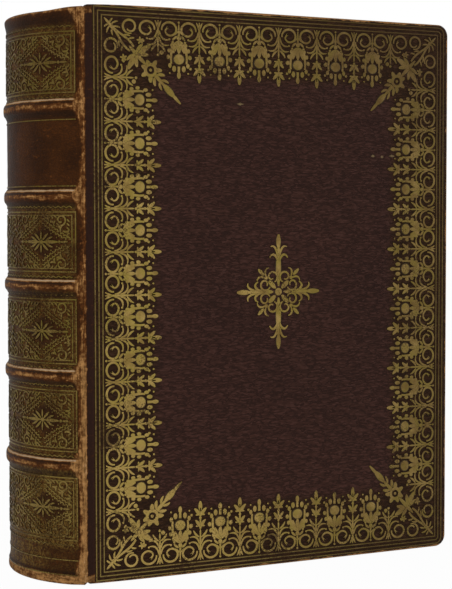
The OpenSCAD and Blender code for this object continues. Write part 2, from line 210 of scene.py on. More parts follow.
def mesh_object(name, points, faces, floats=None):
    """Object with a closed mesh given in millimetres, its faces turned outwards."""
    mesh = bpy.data.meshes.new(name)
    mesh.from_pydata([Vector(p) * MM for p in points], [], faces)
    for key, values in (floats or {}).items():
        mesh.attributes.new(key, "FLOAT", "POINT").data.foreach_set("value", values)
    turn_outwards(mesh)
    return linked(name, mesh)


def turn_outwards(mesh):
    """Turns the faces of closed shells outwards."""
    bm = bmesh.new()
    bm.from_mesh(mesh)
    bmesh.ops.recalc_face_normals(bm, faces=bm.faces)
    bm.to_mesh(mesh)
    bm.free()


def bridged(rings, looped=False):
    """Faces between rings of point numbers, which end in two caps or run into one another."""
    faces = []
    for a, b in zip(rings, rings[1:] + rings[:1] if looped else rings[1:]):
        for i in range(len(a)):
            j = (i + 1) % len(a)
            faces.append((a[i], a[j], b[j], b[i]))
    if not looped:
        faces += [tuple(reversed(rings[0])), tuple(rings[-1])]
    return faces


def shell(name, rings, floats=None):
    """Closed solid through rings of points, all with as many of them."""
    count = len(rings[0])
    numbers = [range(i * count, (i + 1) * count) for i in range(len(rings))]
    return mesh_object(name, [point for ring in rings for point in ring], bridged(numbers), floats)


def smooth(obj, angle=math.radians(50)):
    """Shades an object smooth, apart from its sharper edges."""
    obj.data.shade_smooth()
    obj.data.set_sharp_from_angle(angle=angle)
    return obj


def dress(obj, material, body=None):
    """Gives a piece its material and, if it follows only one, its body."""
    obj.data.materials.clear()
    obj.data.materials.append(material)
    if body:
        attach(obj, body)
    return obj


def smoothstep(low, high, value):
    """Eased step from 0 at low to 1 at high, in either order."""
    share = min(max((value - low) / (high - low), 0.0), 1.0)
    return share * share * (3 - 2 * share)


def wander(*place):
    """Smooth noise between -1 and 1 at a place."""
    return noise.noise(Vector(place))


# Node trees

class Graph:
    """Adds nodes to a tree and joins their sockets."""

    def __init__(self, tree):
        self.tree = tree

    def add(self, kind, inputs=None, **settings):
        made = self.tree.nodes.new(kind)
        for key, value in settings.items():
            setattr(made, key, value)
        for key, value in (inputs or {}).items():
            self.feed(made.inputs[key], value)
        return made

    def feed(self, socket, value):
        if isinstance(value, bpy.types.NodeSocket):
            self.tree.links.new(value, socket)
        elif socket.type == "RGBA" and len(value) == 3:
            socket.default_value = (*value, 1.0)
        else:
            socket.default_value = value

    def math(self, operation, first, second=0.0):
        return self.add("ShaderNodeMath", {0: first, 1: second}, operation=operation).outputs[0]

    def total(self, *values):
        return functools.reduce(lambda a, b: self.math("ADD", a, b), values)

    def product(self, *values):
        return functools.reduce(lambda a, b: self.math("MULTIPLY", a, b), values)

    def apart(self, value, place):
        """How far a value is from a place, to either side."""
        return self.math("ABSOLUTE", self.math("SUBTRACT", value, place))

    def least(self, *values):
        return functools.reduce(lambda a, b: self.math("MINIMUM", a, b), values)

    def point(self, **axes):
        return self.add("ShaderNodeCombineXYZ", axes).outputs[0]

    def seen(self):
        """1 for the rays that meet the eye directly, off polished metal or through glass."""
        rays = self.add("ShaderNodeLightPath").outputs
        return self.math("MAXIMUM", rays["Is Camera Ray"],
                         self.math("MAXIMUM", rays["Is Glossy Ray"], rays["Is Transmission Ray"]))


class Finish(Graph):
    """Material with a Principled shader, its patterns laid on Object coordinates."""

    def __init__(self, name, roughness=0.6, specular=0.3, **inputs):
        self.material = bpy.data.materials.new(name)
        self.material.use_nodes = True
        super().__init__(self.material.node_tree)
        self.shader = self.tree.nodes["Principled BSDF"]
        self.set("Roughness", roughness)
        self.set("Specular IOR Level", specular)
        for key, value in inputs.items():
            self.set(key.replace("_", " ").title(), value)
        self.place = self.add("ShaderNodeTexCoord").outputs["Object"]

    def set(self, key, value):
        self.feed(self.shader.inputs[key], value)

    def stretched(self, scale):
        return self.add("ShaderNodeMapping", {"Vector": self.place, "Scale": scale}).outputs[0]

    def noise(self, size, detail=3.0, place=None, roughness=0.5, output="Fac"):
        made = self.add("ShaderNodeTexNoise", {"Vector": place or self.place, "Scale": 1 / size,
                                               "Detail": detail, "Roughness": roughness})
        return made.outputs[output]

    def cells(self, size, place):
        made = self.add("ShaderNodeTexVoronoi", {"Vector": place, "Scale": 1 / size})
        return made.outputs["Distance"]

    def shift(self, place, pattern, amount):
        """A place moved about by a colour pattern."""
        for operation, inputs in (("SUBTRACT", {1: (0.5, 0.5, 0.5)}), ("SCALE", {"Scale": amount}),
                                  ("ADD", {1: place})):
            pattern = self.add("ShaderNodeVectorMath", {0: pattern, **inputs},
                               operation=operation).outputs[0]
        return pattern

    def ramp(self, value, low, high, bottom=0.0, top=1.0):
        """A value from low to high, eased to one from bottom to top."""
        made = self.add("ShaderNodeMapRange",
                        {"Value": value, "From Min": low, "From Max": high, "To Min": bottom,
                         "To Max": top}, interpolation_type="SMOOTHSTEP")
        return made.outputs["Result"]

    def mix(self, share, first, second, blend="MIX"):
        """Mix of two colours."""
        made = self.add("ShaderNodeMix", data_type="RGBA", blend_type=blend)
        sockets = [s for s in made.inputs if s.enabled]
        for socket, value in zip(sockets, (share, first, second)):
            self.feed(socket, value)
        return next(s for s in made.outputs if s.enabled)

    def axes(self):
        """The three coordinates of the place, in metres."""
        parts = self.add("ShaderNodeSeparateXYZ", {"Vector": self.place}).outputs
        return parts["X"], parts["Y"], parts["Z"]

    def attribute(self, name):
        return self.add("ShaderNodeAttribute", attribute_name=name).outputs["Fac"]

    def bump(self, height, distance, under=None):
        """Puts a height pattern on the surface, over another one if given."""
        inputs = {"Height": height, "Distance": distance, "Strength": 1.0}
        if under is not None:
            inputs["Normal"] = under
        normal = self.add("ShaderNodeBump", inputs).outputs["Normal"]
        self.feed(self.shader.inputs["Normal"], normal)
        return normal


def shade(colour, share=1.0):
    """A colour made darker, or lighter, by a share of its light."""
    return tuple(share * channel for channel in colour)


def edge_distance(finish, low, high):
    """Distance in the plane of a cover to the nearest side of a frame, in metres."""
    x, _, z = finish.axes()
    return finish.least(finish.math("SUBTRACT", x, low.x * MM),
                        finish.math("SUBTRACT", high.x * MM, x),
                        finish.math("SUBTRACT", z, low.z * MM),
                        finish.math("SUBTRACT", high.z * MM, z))


def wrinkled_grain(finish, grain, stretch):
    """Height of morocco grain: pebbles between furrows that wander sideways."""
    place = finish.stretched(stretch)
    drift = finish.noise(3.2 * grain, detail=2.0, output="Color")
    place = finish.shift(place, drift, 0.9 * grain)
    folds = finish.noise(1.5 * grain, detail=3.0, place=place, roughness=0.55)
    pebbles = finish.ramp(finish.cells(0.8 * grain, place), 0.75, 0.15, 0.45, 1.0)
    return finish.product(finish.ramp(finish.apart(folds, 0.5), 0.0, 0.07, 0.1, 1.0), pebbles)


def cover_leather():
    """Dark morocco of the covers, rubbed along the edges and darker under the gold, with painted shade
    in the grain's furrows, a painted highlight on its pebbles and painted light on its lower part.
    """
    settings = bpy.context.scene.book_leather
    colour = settings.cover_colour
    finish = Finish("morocco", roughness=0.66, specular=0.09)
    grain = wrinkled_grain(finish, settings.grain, (0.28, 1.0, 1.0))
    patches = finish.noise(45 * MM, detail=4.0)
    body = finish.mix(finish.ramp(patches, 0.3, 0.7), colour, shade(colour, 1.25))
    x, y, z = finish.axes()
    # Painted light: the lower part of the cover is lightened, as if more light fell on it.
    body = finish.mix(finish.ramp(z, 20 * MM, 120 * MM, 0.5, 0.0), body, shade(colour, 1.5))
    half_frame = Vector((INNER_HALF_W, 0, INNER_HALF_H))
    inside = edge_distance(finish, FRAME_MID - half_frame, FRAME_MID + half_frame)
    under_gold = finish.ramp(inside, 28 * MM, 21 * MM)
    body = finish.mix(under_gold, body, settings.border_colour)
    # Painted shade: the grain's furrows are darkened.
    body = finish.mix(finish.ramp(grain, 0.0, 1.0, 0.68, 0.0), body, (0.008, 0.004, 0.003))
    # Painted highlight on the tops of the grain's pebbles.
    body = finish.mix(finish.ramp(grain, 0.75, 1.0, 0.0, 0.22), body, srgb(76, 54, 50))

    # The low corner lies so far off that the side at the joint never counts
    edge = edge_distance(finish, Vector((-2 * COVER_H, 0, 0)), COVER_HIGH)
    chafing = finish.noise(5 * MM, detail=6.0, roughness=0.65)
    reach = finish.ramp(chafing, 0.35, 0.7, 0.5 * MM, 1.3 * MM)
    rubbed = finish.math("LESS_THAN", edge, reach)
    body = finish.mix(finish.product(rubbed, 0.7), body, settings.rubbed_colour)
    flecks = finish.noise(1.1 * MM, detail=3.0, roughness=0.7)
    front = finish.ramp(y, -0.5 * HALF_T * MM, -0.4 * HALF_T * MM, 1.0, 0.0)
    for place_x, place_z, wide in SCUFFS:
        off = finish.total(finish.product(finish.apart(x, place_x * MM), 1 / (wide * MM)),
                           finish.product(finish.apart(z, place_z * MM), 1 / (SCUFF_H * MM)),
                           flecks)
        spot = finish.ramp(off, 1.5, 0.8, 0.0, 0.75)
        body = finish.mix(finish.product(spot, front), body, srgb(132, 112, 78))
    finish.set("Base Color", body)
    finish.set("Roughness", finish.ramp(grain, 0.0, 1.0, 0.75, 0.58))
    soft = finish.bump(finish.noise(9 * MM, detail=3.0), 0.35 * MM)
    finish.bump(grain, settings.grain_depth, soft)
    return finish.material


def spine_leather():
    """Brown leather of the spine: gilt, rubbed to tan and darkened where the mesh says so, with
    painted shade in the grain's furrows; its rubbing carries a painted highlight along each band's
    upper edge, and its darkening is mostly painted shade.
    """
    settings = bpy.context.scene.book_leather
    colour, rubbed = settings.spine_colour, settings.rubbed_colour
    finish = Finish("rubbed_calf", roughness=0.65, specular=0.05)
    grain = wrinkled_grain(finish, 0.8 * settings.grain, (1.0, 0.5, 1.0))
    patches = finish.noise(16 * MM, detail=4.0)
    body = finish.mix(finish.ramp(patches, 0.35, 0.65), shade(colour, 0.75), shade(colour, 1.35))
    # Painted shade: the grain's furrows are darkened.
    body = finish.mix(finish.ramp(grain, 0.0, 1.0, 0.5, 0.0), body, (0.005, 0.003, 0.002))
    speckle = finish.noise(0.9 * MM, detail=4.0, roughness=0.7)
    clumps = finish.noise(2.6 * MM, detail=3.0, roughness=0.6)
    gilt = finish.product(finish.attribute("gilt"), finish.ramp(speckle, 0.4, 0.62),
                          finish.ramp(clumps, 0.38, 0.62, 0.45, 1.45))
    body = finish.mix(gilt, body, settings.gilt_colour)
    chafing = finish.noise(1.9 * MM, detail=6.0, roughness=0.72)
    upright = finish.noise(0.9 * MM, detail=4.0, roughness=0.65,
                           place=finish.stretched((1.0, 1.0, 0.12)))
    level = finish.noise(1.2 * MM, detail=4.0, roughness=0.65,
                         place=finish.stretched((0.15, 0.15, 1.0)))
    seam = finish.attribute("seam")
    body = finish.mix(finish.ramp(seam, -0.05, -0.9), body, shade(settings.cover_colour, 0.8))
    seam = finish.ramp(seam, 0.0, 1.0)
    streaks = finish.total(finish.product(seam, upright),
                           finish.product(finish.math("SUBTRACT", 1.0, seam), level))
    worn = finish.total(finish.product(finish.math("SUBTRACT", chafing, 0.5), 1.8),
                        finish.product(finish.math("SUBTRACT", streaks, 0.5), 1.5))
    # The mesh's rubbing also carries the painted highlight along each band's upper edge; at its
    # highest it takes the bare colour.
    bare_and_highlight = finish.total(finish.attribute("rub"), worn)
    tan = finish.mix(finish.ramp(worn, -0.35, 0.35), shade(rubbed, 0.4), shade(rubbed, 1.1))
    body = finish.mix(finish.ramp(bare_and_highlight, 0.15, 0.5), body, shade(colour, 1.9))
    body = finish.mix(finish.ramp(bare_and_highlight, 0.4, 0.95), body, tan)
    body = finish.mix(finish.ramp(bare_and_highlight, 1.15, 1.7), body, settings.bare_and_highlight_colour)
    # Darkened by the mesh's shade: mostly painted shade beside the joint and round the bands, the rest
    # real dark lines and lozenges.
    body = finish.mix(finish.attribute("shade"), body, (0.011, 0.006, 0.003))
    finish.set("Base Color", body)
    finish.set("Roughness", finish.ramp(bare_and_highlight, 0.3, 0.9, 0.55, 0.75))
    finish.bump(grain, 0.7 * settings.grain_depth)
    return finish.material


def old_gold(name="old_gold", tone=1.0, metallic=0.45, extra_wear=0.0):
    """Gold leaf tooled on leather, worn: painted light brightens it towards the lower corner by the
    spine, painted shade dulls it towards the fore edge and head, and a dark rim round each stroke is
    partly the edge of its impression and partly painted shade.
    """
    settings = bpy.context.scene.book_gold
    bright, leather = settings.bright_colour, bpy.context.scene.book_leather.border_colour
    finish = Finish(name, roughness=0.4, metallic=metallic, specular=0.45 * metallic)
    cloud = finish.noise(7 * MM, detail=5.0, roughness=0.6)
    body = finish.mix(finish.ramp(cloud, 0.35, 0.65), shade(settings.dull_colour, tone),
                      shade(bright, tone))
    x, _, z = finish.axes()
    tarnish = finish.ramp(finish.noise(4 * MM, detail=2.0), 0.42, 0.62, 0.0, 0.6)
    body = finish.mix(tarnish, body, shade(srgb(132, 116, 42), tone))
    # Painted light: the gold is brightened towards the lower part nearest the spine.
    near = finish.product(finish.ramp(z, 12 * MM, 110 * MM, 0.5, 0.08),
                          finish.ramp(x, -70 * MM, 60 * MM, 1.0, 0.1))
    body = finish.mix(near, body, shade(bright, 1.35 * tone))
    # Painted shade: the gold fades into the leather towards the fore edge and the head; it is mixed in
    # with the gold's real wear below.
    far = finish.total(finish.ramp(x, -40 * MM, 95 * MM, 0.0, 0.42),
                       finish.ramp(z, 150 * MM, COVER_H * MM, 0.0, 0.34))
    speckle = finish.noise(0.7 * MM, detail=3.0, roughness=0.7)
    thin = finish.total(speckle, finish.math("SUBTRACT", finish.noise(14 * MM), 0.5))
    worn = settings.worn + extra_wear
    lost = finish.ramp(thin, 0.62 - 0.25 * worn, 0.72 - 0.1 * worn, 0.0, 0.8)
    body = finish.mix(finish.math("MAXIMUM", lost, far), body, shade(leather, 1.2))
    # Dark rim round each stroke: partly the dark edge of the tooled impression, partly painted shade
    # that makes the stroke look raised.
    rim = finish.ramp(finish.attribute("crest"), 0.1, 0.9, 0.92, 0.0)
    finish.set("Base Color", finish.mix(rim, body, (0.012, 0.006, 0.002)))
    finish.set("Roughness", finish.ramp(speckle, 0.3, 0.7, 0.32, 0.55))
    finish.bump(speckle, 0.1 * MM)
    return finish.material


def paper(name, colour, foxing=0.25):
    """Aged paper with a faint laid texture and brown spots."""
    finish = Finish(name, roughness=0.85, specular=0.15)
    cloud = finish.noise(30 * MM, detail=4.0)
    body = finish.mix(finish.ramp(cloud, 0.3, 0.7), colour, shade(colour, 0.86))
    spots = finish.ramp(finish.noise(6 * MM, detail=2.0), 0.66, 0.78, 0.0, foxing)
    body = finish.mix(spots, body, srgb(150, 108, 58))
    edge = edge_distance(finish, *box_mm("text_block"))
    body = finish.mix(finish.ramp(edge, 14 * MM, 0.0, 0.0, 0.35), body, srgb(168, 134, 86))
    finish.set("Base Color", body)
    finish.bump(finish.noise(0.35 * MM, detail=3.0), 0.02 * MM)
    return finish.material


def page_edges():
    """Edges of the leaves, in fine uneven layers across the thickness of the book."""
    settings = bpy.context.scene.book_paper
    colour = settings.page_colour
    finish = Finish("page_edges", roughness=0.85, specular=0.12)
    layers = finish.noise(settings.leaf, detail=4.0, roughness=0.75,
                          place=finish.stretched((0.012, 1.0, 0.012)))
    wide = finish.noise(6 * settings.leaf, detail=3.0,
                        place=finish.stretched((0.02, 1.0, 0.02)))
    body = finish.mix(finish.ramp(layers, 0.3, 0.7), shade(colour, 0.7), colour)
    body = finish.mix(finish.ramp(wide, 0.35, 0.7, 0.0, 0.5), body, shade(colour, 0.8), "MULTIPLY")
    dust = finish.noise(24 * MM, detail=4.0)
    body = finish.mix(finish.ramp(dust, 0.45, 0.75, 0.0, 0.35), body, srgb(124, 98, 66))
    finish.set("Base Color", body)
    finish.bump(layers, 0.12 * MM)
    return finish.material


def fibrous(name, colour, size, depth, stretch=(1, 1, 1)):
    """Plain matt stuff with a fibrous surface: board, cloth, cord or silk."""
    finish = Finish(name, roughness=0.8, specular=0.2)
    fibres = finish.noise(size, detail=5.0, roughness=0.7, place=finish.stretched(stretch))
    body = finish.mix(finish.ramp(fibres, 0.3, 0.7), shade(colour, 0.7), colour)
    finish.set("Base Color", body)
    finish.bump(fibres, depth)
    return finish.material


# Gold tooling

# Section of a stroke: place across it, height, and how far it is from the dark rim, which is partly
# painted shade
SECTION = ((-1.0, 0.0, 0.0), (-0.88, 0.85, 0.0), (-0.6, 1.0, 1.0), (0.6, 1.0, 1.0),
           (0.88, 0.85, 0.0), (1.0, 0.0, 0.0))
# Section of a dome: share of its half width, height, and that distance
DOME = ((1.0, 0.0, 0.0), (0.9, 0.8, 0.0), (0.72, 1.0, 1.0), (0.3, 1.2, 1.0))
SUNK = 0.06
LAYER, LAYERS = 0.012, 14


def curve(start, pull_a, pull_b, end, steps=9):
    """Points along a curve that leaves start towards pull_a and reaches end from pull_b."""
    a, b, c, d = (Vector(p) for p in (start, pull_a, pull_b, end))
    return [a * (1 - t) ** 3 + b * 3 * t * (1 - t) ** 2 + c * 3 * t * t * (1 - t) + d * t ** 3
            for t in (i / steps for i in range(steps + 1))]


def straight(start, end, steps=4):
    a, b = Vector(start), Vector(end)
    return [a.lerp(b, i / steps) for i in range(steps + 1)]


def coil(centre, radii, turn, sizes, steps=26):
    """Points round a centre, from one angle to another in degrees, at radii scaled by sizes."""
    points = []
    for t in (i / steps for i in range(steps + 1)):
        angle = math.radians(turn[0] + (turn[1] - turn[0]) * t)
        size = along(sizes, t)
        points.append(Vector((centre[0] + radii[0] * size * math.cos(angle),
                              centre[1] + radii[1] * size * math.sin(angle))))
    return points


def along(values, share):
    """Value at a share of the way through a list of evenly spaced ones."""
    place = share * (len(values) - 1)
    index = min(int(place), len(values) - 2)
    return values[index] + (values[index + 1] - values[index]) * (place - index)


def flipped(points, side):
    """Points with their second coordinate mirrored for side -1."""
    return [Vector((p[0], side * p[1])) for p in points]


class Tooling:
    """Collects closed, softly rounded strokes and domes of gold on a flat plan, in millimetres."""

    def __init__(self):
        self.height = bpy.context.scene.book_gold.relief / MM
        self.points, self.faces, self.crest = [], [], []
        self.count = 0

    def layer(self):
        """Height of the next piece above the last, so that its rim shows where they overlap."""
        self.count += 1
        return LAYER * (self.count % LAYERS)

    def add(self, place, level, height, crest):
        """Adds a point, sunk into the leather if it is at level 0, and gives its number."""
        self.points.append((place[0], place[1], level * height - SUNK * (level == 0)))
        self.crest.append(crest)
        return len(self.points) - 1

    def stroke(self, line, widths, side=1):
        """Adds a ribbon along a line, its full width following widths."""
        line = flipped(line, side)
        rings = []
        last = len(line) - 1
        layer = self.layer()
        for i, point in enumerate(line):
            ahead = (line[min(i + 1, last)] - line[max(i - 1, 0)]).normalized()
            across = Vector((-ahead.y, ahead.x))
            half = along(widths, i / last) / 2
            height = self.height * min(1.0, 0.35 + half / 0.45) + layer
            rings.append([self.add(point + across * offset * half, level, height, crest)
                          for offset, level, crest in SECTION])
        self.faces += bridged(rings)

    def leaf(self, root, tip, width, bend=0.0, side=1, steps=6):
        """Adds a leaf with a blunt tip, bent to one side by a share of its length."""
        a, b = Vector(root), Vector(tip)
        lean = Vector((-(b - a).y, (b - a).x)) * bend
        self.stroke(curve(a, a.lerp(b, 0.35) + lean, a.lerp(b, 0.7) + lean, b, steps),
                    (0.3 * width, 0.88 * width, width, 0.85 * width, 0.36 * width), side)

    def dome(self, centre, a, b=None, side=1, sides=12):
        """Adds a low oval dome with half widths a and b."""
        b = b or a
        height = self.height + self.layer()
        turns = [(math.cos(angle), math.sin(angle))
                 for angle in (2 * math.pi * i / sides for i in range(sides))]
        self.faces += bridged([
            [self.add((centre[0] + share * a * u, side * (centre[1] + share * b * v)),
                      level, height, crest) for u, v in turns] for share, level, crest in DOME])

    def rectangle(self, half_w, half_h, width, fore=0, radius=0.0, steps=1):
        """Adds a frame of one line, its corners on the fore side rounded if a radius is given."""
        plan = []
        for i, (x, y) in enumerate(((-1, -1), (1, -1), (1, 1), (-1, 1))):
            if radius and x == fore:
                plan += [(x * (half_w - radius), y * (half_h - radius), math.cos(a), math.sin(a),
                          radius) for a in (math.radians(90 * i - 180 + 15 * k) for k in range(7))]
            else:
                plan.append((x * half_w, y * half_h, -x, -y, 0.0))

        def moved_in(corner, inset):
            x, y, u, v, r = corner
            reach = r - inset if r else inset
            return Vector((x + u * reach, y + v * reach))

        rings = []
        for a, b in zip(plan, plan[1:] + plan[:1]):
            parts = 1 if a[-1] and b[-1] else steps
            for k in range(parts):
                ring = []
                for offset, level, crest in SECTION:
                    inset = width / 2 * (1 - offset)
                    place = moved_in(a, inset).lerp(moved_in(b, inset), k / parts)
                    ring.append(self.add(place, level, 0.8 * self.height, crest))
                rings.append(ring)
        self.faces += bridged(rings, looped=True)

    def object(self, name):
        return mesh_object(name, self.points, self.faces, {"crest": self.crest})


def draw_scroll(tool, side, centre=(4.4, 5.2), radii=(3.05, 3.4), turn=(-80, -425), width=1.3):
    """Nearly closed ring whose end winds inwards and back like a comma."""
    ring = coil(centre, radii, turn, (1.05, 1.0, 1.0, 1.0, 0.9, 0.62))
    tool.stroke(ring, (0.7 * width, width, width, width, 0.9 * width, 0.7 * width), side)
    end = ring[-1]
    heart = Vector(centre)
    tool.stroke(curve(end, end + Vector((-1.2, 0.5)), heart + Vector((-1.5, 0.2)),
                      heart + Vector((-0.5, -1.0)), 6),
                (0.7 * width, 0.9 * width, 1.1 * width, 0.6 * width), side)


def draw_palmette(tool, whole):
    """Slim palmette: a fan of curved leaves over two scrolls and, when whole, a flowered stem."""
    for side in (-1, 1):
        draw_scroll(tool, side)
        tool.leaf((4.2, 0.3), (0.9, 1.5), 1.1, 0.1, side)
        tool.stroke(curve((5.2, 0.6), (8.0, 0.9), (9.6, 2.4), (8.9, 5.2)), (0.7, 1.1, 1.1, 0.6), side)
        tool.dome((8.7, 5.3), 0.6, side=side, sides=8)
        tool.stroke(curve((8.0, 0.6), (10.6, 0.9), (12.0, 2.4), (11.2, 5.2)), (0.7, 1.1, 1.1, 0.5),
                    side)
        tool.leaf((11.0, 0.3), (14.2, 3.3), 1.3, 0.14, side)
        tool.dome((9.9, 6.9), 0.7, side=side, sides=9)
    tool.stroke(straight((0.8, 0), (13.0, 0)), (0.6, 1.2, 1.3, 1.2, 0.8))
    tool.leaf((11.4, 0), (14.6, 0), 1.1)
    if not whole:
        tool.dome((15.6, 0), 0.8, sides=9)
        return
    tool.dome((15.2, 0), 0.7, sides=8)
    tool.stroke(straight((15.8, 0), (24.2, 0)), (0.8, 1.1, 0.9, 1.0, 0.8))
    for side in (-1, 1):
        tool.leaf((15.4, 0.2), (18.8, 2.5), 1.9, -0.08, side)
        tool.leaf((16.2, 0.3), (16.0, 2.2), 1.1, 0.0, side, 4)
        tool.dome((16.4, 4.5), 1.2, 1.05, side=side)
        tool.leaf((20.6, 0.2), (24.0, 2.9), 2.1, -0.08, side)
        tool.leaf((21.3, 0.3), (21.0, 2.3), 1.2, 0.0, side, 4)
        tool.dome((21.2, 4.3), 0.75, side=side, sides=8)
    tool.dome((19.6, 0), 0.9, 0.8, sides=9)
    tool.leaf((22.6, 0), (27.2, 0), 2.5)


def draw_oval_flower(tool):
    """Oval flower: a stem with tufts, lobed petals close round an oval, and a bud at its tip."""
    tool.dome((1.3, 0), 0.65, sides=8)
    tool.stroke(straight((2.0, 0), (11.6, 0)), (0.6, 1.1, 1.4, 1.6))
    for side in (-1, 1):
        tool.leaf((5.0, 0.3), (6.8, 2.0), 1.2, 0.05, side, 4)
        tool.leaf((7.2, 0.7), (9.2, 3.0), 1.4, 0.1, side, 4)
        tool.dome((11.2, 3.3), 1.15, 1.0, side, 9)
        tool.dome((13.5, 4.6), 1.2, 1.0, side, 9)
        tool.dome((16.3, 5.1), 1.25, 0.95, side, 9)
        tool.leaf((9.4, 0.6), (15.0, 3.9), 2.0, 0.14, side)
        tool.stroke(curve((12.2, 2.6), (13.6, 3.5), (16.0, 4.1), (19.2, 3.6)),
                    (1.0, 1.4, 1.4, 1.1), side)
        tool.leaf((10.2, 0.4), (14.6, 2.6), 2.2, 0.08, side)
        tool.dome((20.0, 4.3), 1.35, 1.0, side, 10)
        tool.dome((21.4, 2.3), 1.7, 1.15, side, 10)
        tool.dome((23.3, 4.4), 0.55, side=side, sides=8)
    tool.dome((8.2, 0), 1.3, 1.2, sides=12)
    tool.leaf((10.8, 0), (14.9, 0), 2.4)
    tool.dome((17.2, 0), 2.7, 3.0, sides=24)
    tool.stroke(straight((20.3, 0), (22.8, 0)), (1.6, 1.5))
    tool.dome((24.1, 0), 1.9, 1.1, sides=12)


def mirrored(points, swap):
    """Points as they are, or mirrored about the diagonal of a corner."""
    return [Vector((p[1], p[0]) if swap else p) for p in points]


def draw_corner(tool):
    """Spray that fills a corner: scrolls, two leafy stems, a lobed wing, a ring of petals, a spear."""
    heart, flower = Vector((22.4, 22.4)), Vector((9.9, 17.6))
    for swap in (False, True):
        hand = -1 if swap else 1

        def leaves(rows, bend, steps=6):
            for root, tip, width in rows:
                tool.leaf(*mirrored((root, tip), swap), width, bend * hand, 1, steps)

        def spoke(centre, angle, start, end, lean=0.0):
            """Points at two distances from a centre at an angle, the outer one led on by a lean."""
            a = math.radians(angle)
            return (centre + Vector((math.cos(a), math.sin(a))) * start,
                    centre + Vector((math.cos(a + lean), math.sin(a + lean))) * end)

        tool.stroke(mirrored(coil((4.1, 12.5), (2.8, 2.9), (20, -400),
                                  (1.1, 1.0, 1.0, 1.0, 0.9, 0.5)), swap),
                    (0.7, 1.3, 1.3, 1.25, 1.1, 0.8))
        tool.stroke(mirrored(curve((3.0, 4.4), (7.6, 5.8), (7.6, 11.6), (12.8, 14.6)), swap),
                    (0.6, 1.1, 1.3, 1.4, 1.2))
        leaves((((3.0, 3.6), (1.0, 4.9), 1.1), ((3.4, 4.4), (2.2, 7.4), 1.1),
                ((4.6, 5.0), (4.9, 8.4), 1.1), ((8.0, 9.6), (8.2, 13.0), 1.1),
                ((9.6, 12.2), (9.0, 14.9), 1.1)), 0.12, 4)
        leaves([(*spoke(flower, angle, 0.0, 1.7), 1.2) for angle in range(45, 405, 72)], 0.0, 4)
        leaves((((15.4, 15.8), (11.4, 18.6), 2.2), ((15.8, 17.0), (16.2, 21.4), 2.4),
                ((16.6, 16.0), (12.0, 22.4), 3.4)), 0.08)
        leaves([(*spoke(heart, 72 + 56 * i, 1.8, 5.4 - 0.4 * i, 0.3), 2.7) for i in range(3)], 0.12)
        tool.stroke(mirrored(coil(heart, (2.2, 2.2), (40, 225), (1.1, 1.1, 1.1, 1.1)), swap),
                    (1.7, 1.9, 1.7))
        tool.dome(mirrored([(14.6, 27.6)], swap)[0], 1.2, sides=10)
        leaves([((24.4, 25.2), (24.6, 29.2), 2.0)], 0.1)
        leaves([((26.6, 27.2), (27.8, 30.9), 1.6)], 0.14)
    tool.dome(heart, 0.85)
    tool.stroke(straight((24.4, 24.4), (29.4, 29.4)), (2.4, 2.0, 1.2))
    for root, tip, width in ((28.4, 33.6, 3.8), (31.2, 36.6, 1.9), (1.0, 5.0, 1.6),
                             (12.4, 20.2, 2.6)):
        tool.leaf((root, root), (tip, tip), width)


def draw_device(tool, half_w, half_h):
    """Cross of leaves with scrolls and seeds in its quarters, the same on every side."""
    for quarter in range(4):
        reach = (half_w, half_h)[quarter % 2]
        turn, spin = (Matrix.Rotation(math.pi / 4 * (2 * quarter + eighth), 2) for eighth in (0, 1))

        def placed(points, matrix=turn):
            return [matrix @ Vector(p) for p in points]

        tool.leaf(*placed(((2.6, 0), (reach - 7.5, 0))), 3.4)
        tool.leaf(*placed(((reach - 6.8, 0), (reach, 0))), 3.0)
        tool.dome(placed([(reach - 7.2, 0)])[0], 1.2, sides=10)
        tool.leaf(*placed(((2.2, 0), (7.0, 0)), spin), 3.0)
        tool.leaf(*placed(((10.6, 0), (14.6, 0)), spin), 2.2)
        tool.dome(placed([(9.0, 0)], spin)[0], 1.1, sides=10)
        strokes = (
            (curve((reach - 12, 0.6), (reach - 9, 1.2), (reach - 8, 3.4), (reach - 10.6, 4.6)),
             turn, (0.8, 1.6, 1.3, 0.7)),
            (curve((reach - 9.4, 0.8), (reach - 6.4, 1.0), (reach - 4.6, 2.4), (reach - 5.6, 4.2)),
             turn, (0.8, 1.4, 1.2, 0.5)),
            (coil((6.8, 3.1), (2.3, 2.3), (200, 560), (1.1, 1.0, 0.9, 0.35), 20),
             turn, (0.8, 1.2, 1.2, 1.1, 0.9)),
            (curve((9.2, 0.4), (11.4, 1.0), (12.4, 2.6), (11.2, 4.2)), spin, (0.8, 1.3, 1.1, 0.6)))
        for side in (-1, 1):
            for line, matrix, widths in strokes:
                tool.stroke(placed(flipped(line, side), matrix), widths)
    tool.dome((0, 0), 2.1, sides=16)


def cover_plane(side):
    """Matrix that lays a flat drawing on the outer face of a cover, centred on its frame."""
    sign = SIDES[side]
    turned = Matrix(((-sign, 0, 0), (0, 0, sign), (0, 1, 0)))
    placed = turned.to_4x4()
    placed.translation = Vector((FRAME_MID.x, sign * HALF_T, FRAME_MID.z)) * MM
    return placed


# What a border's tree and the row inside it are both given
FRAME_INPUTS = {"Half Width": "Float", "Half Height": "Float", "Upright Pitch": "Float",
                "Level Pitch": "Float", "Upright Count": "Int", "Level Count": "Int"}


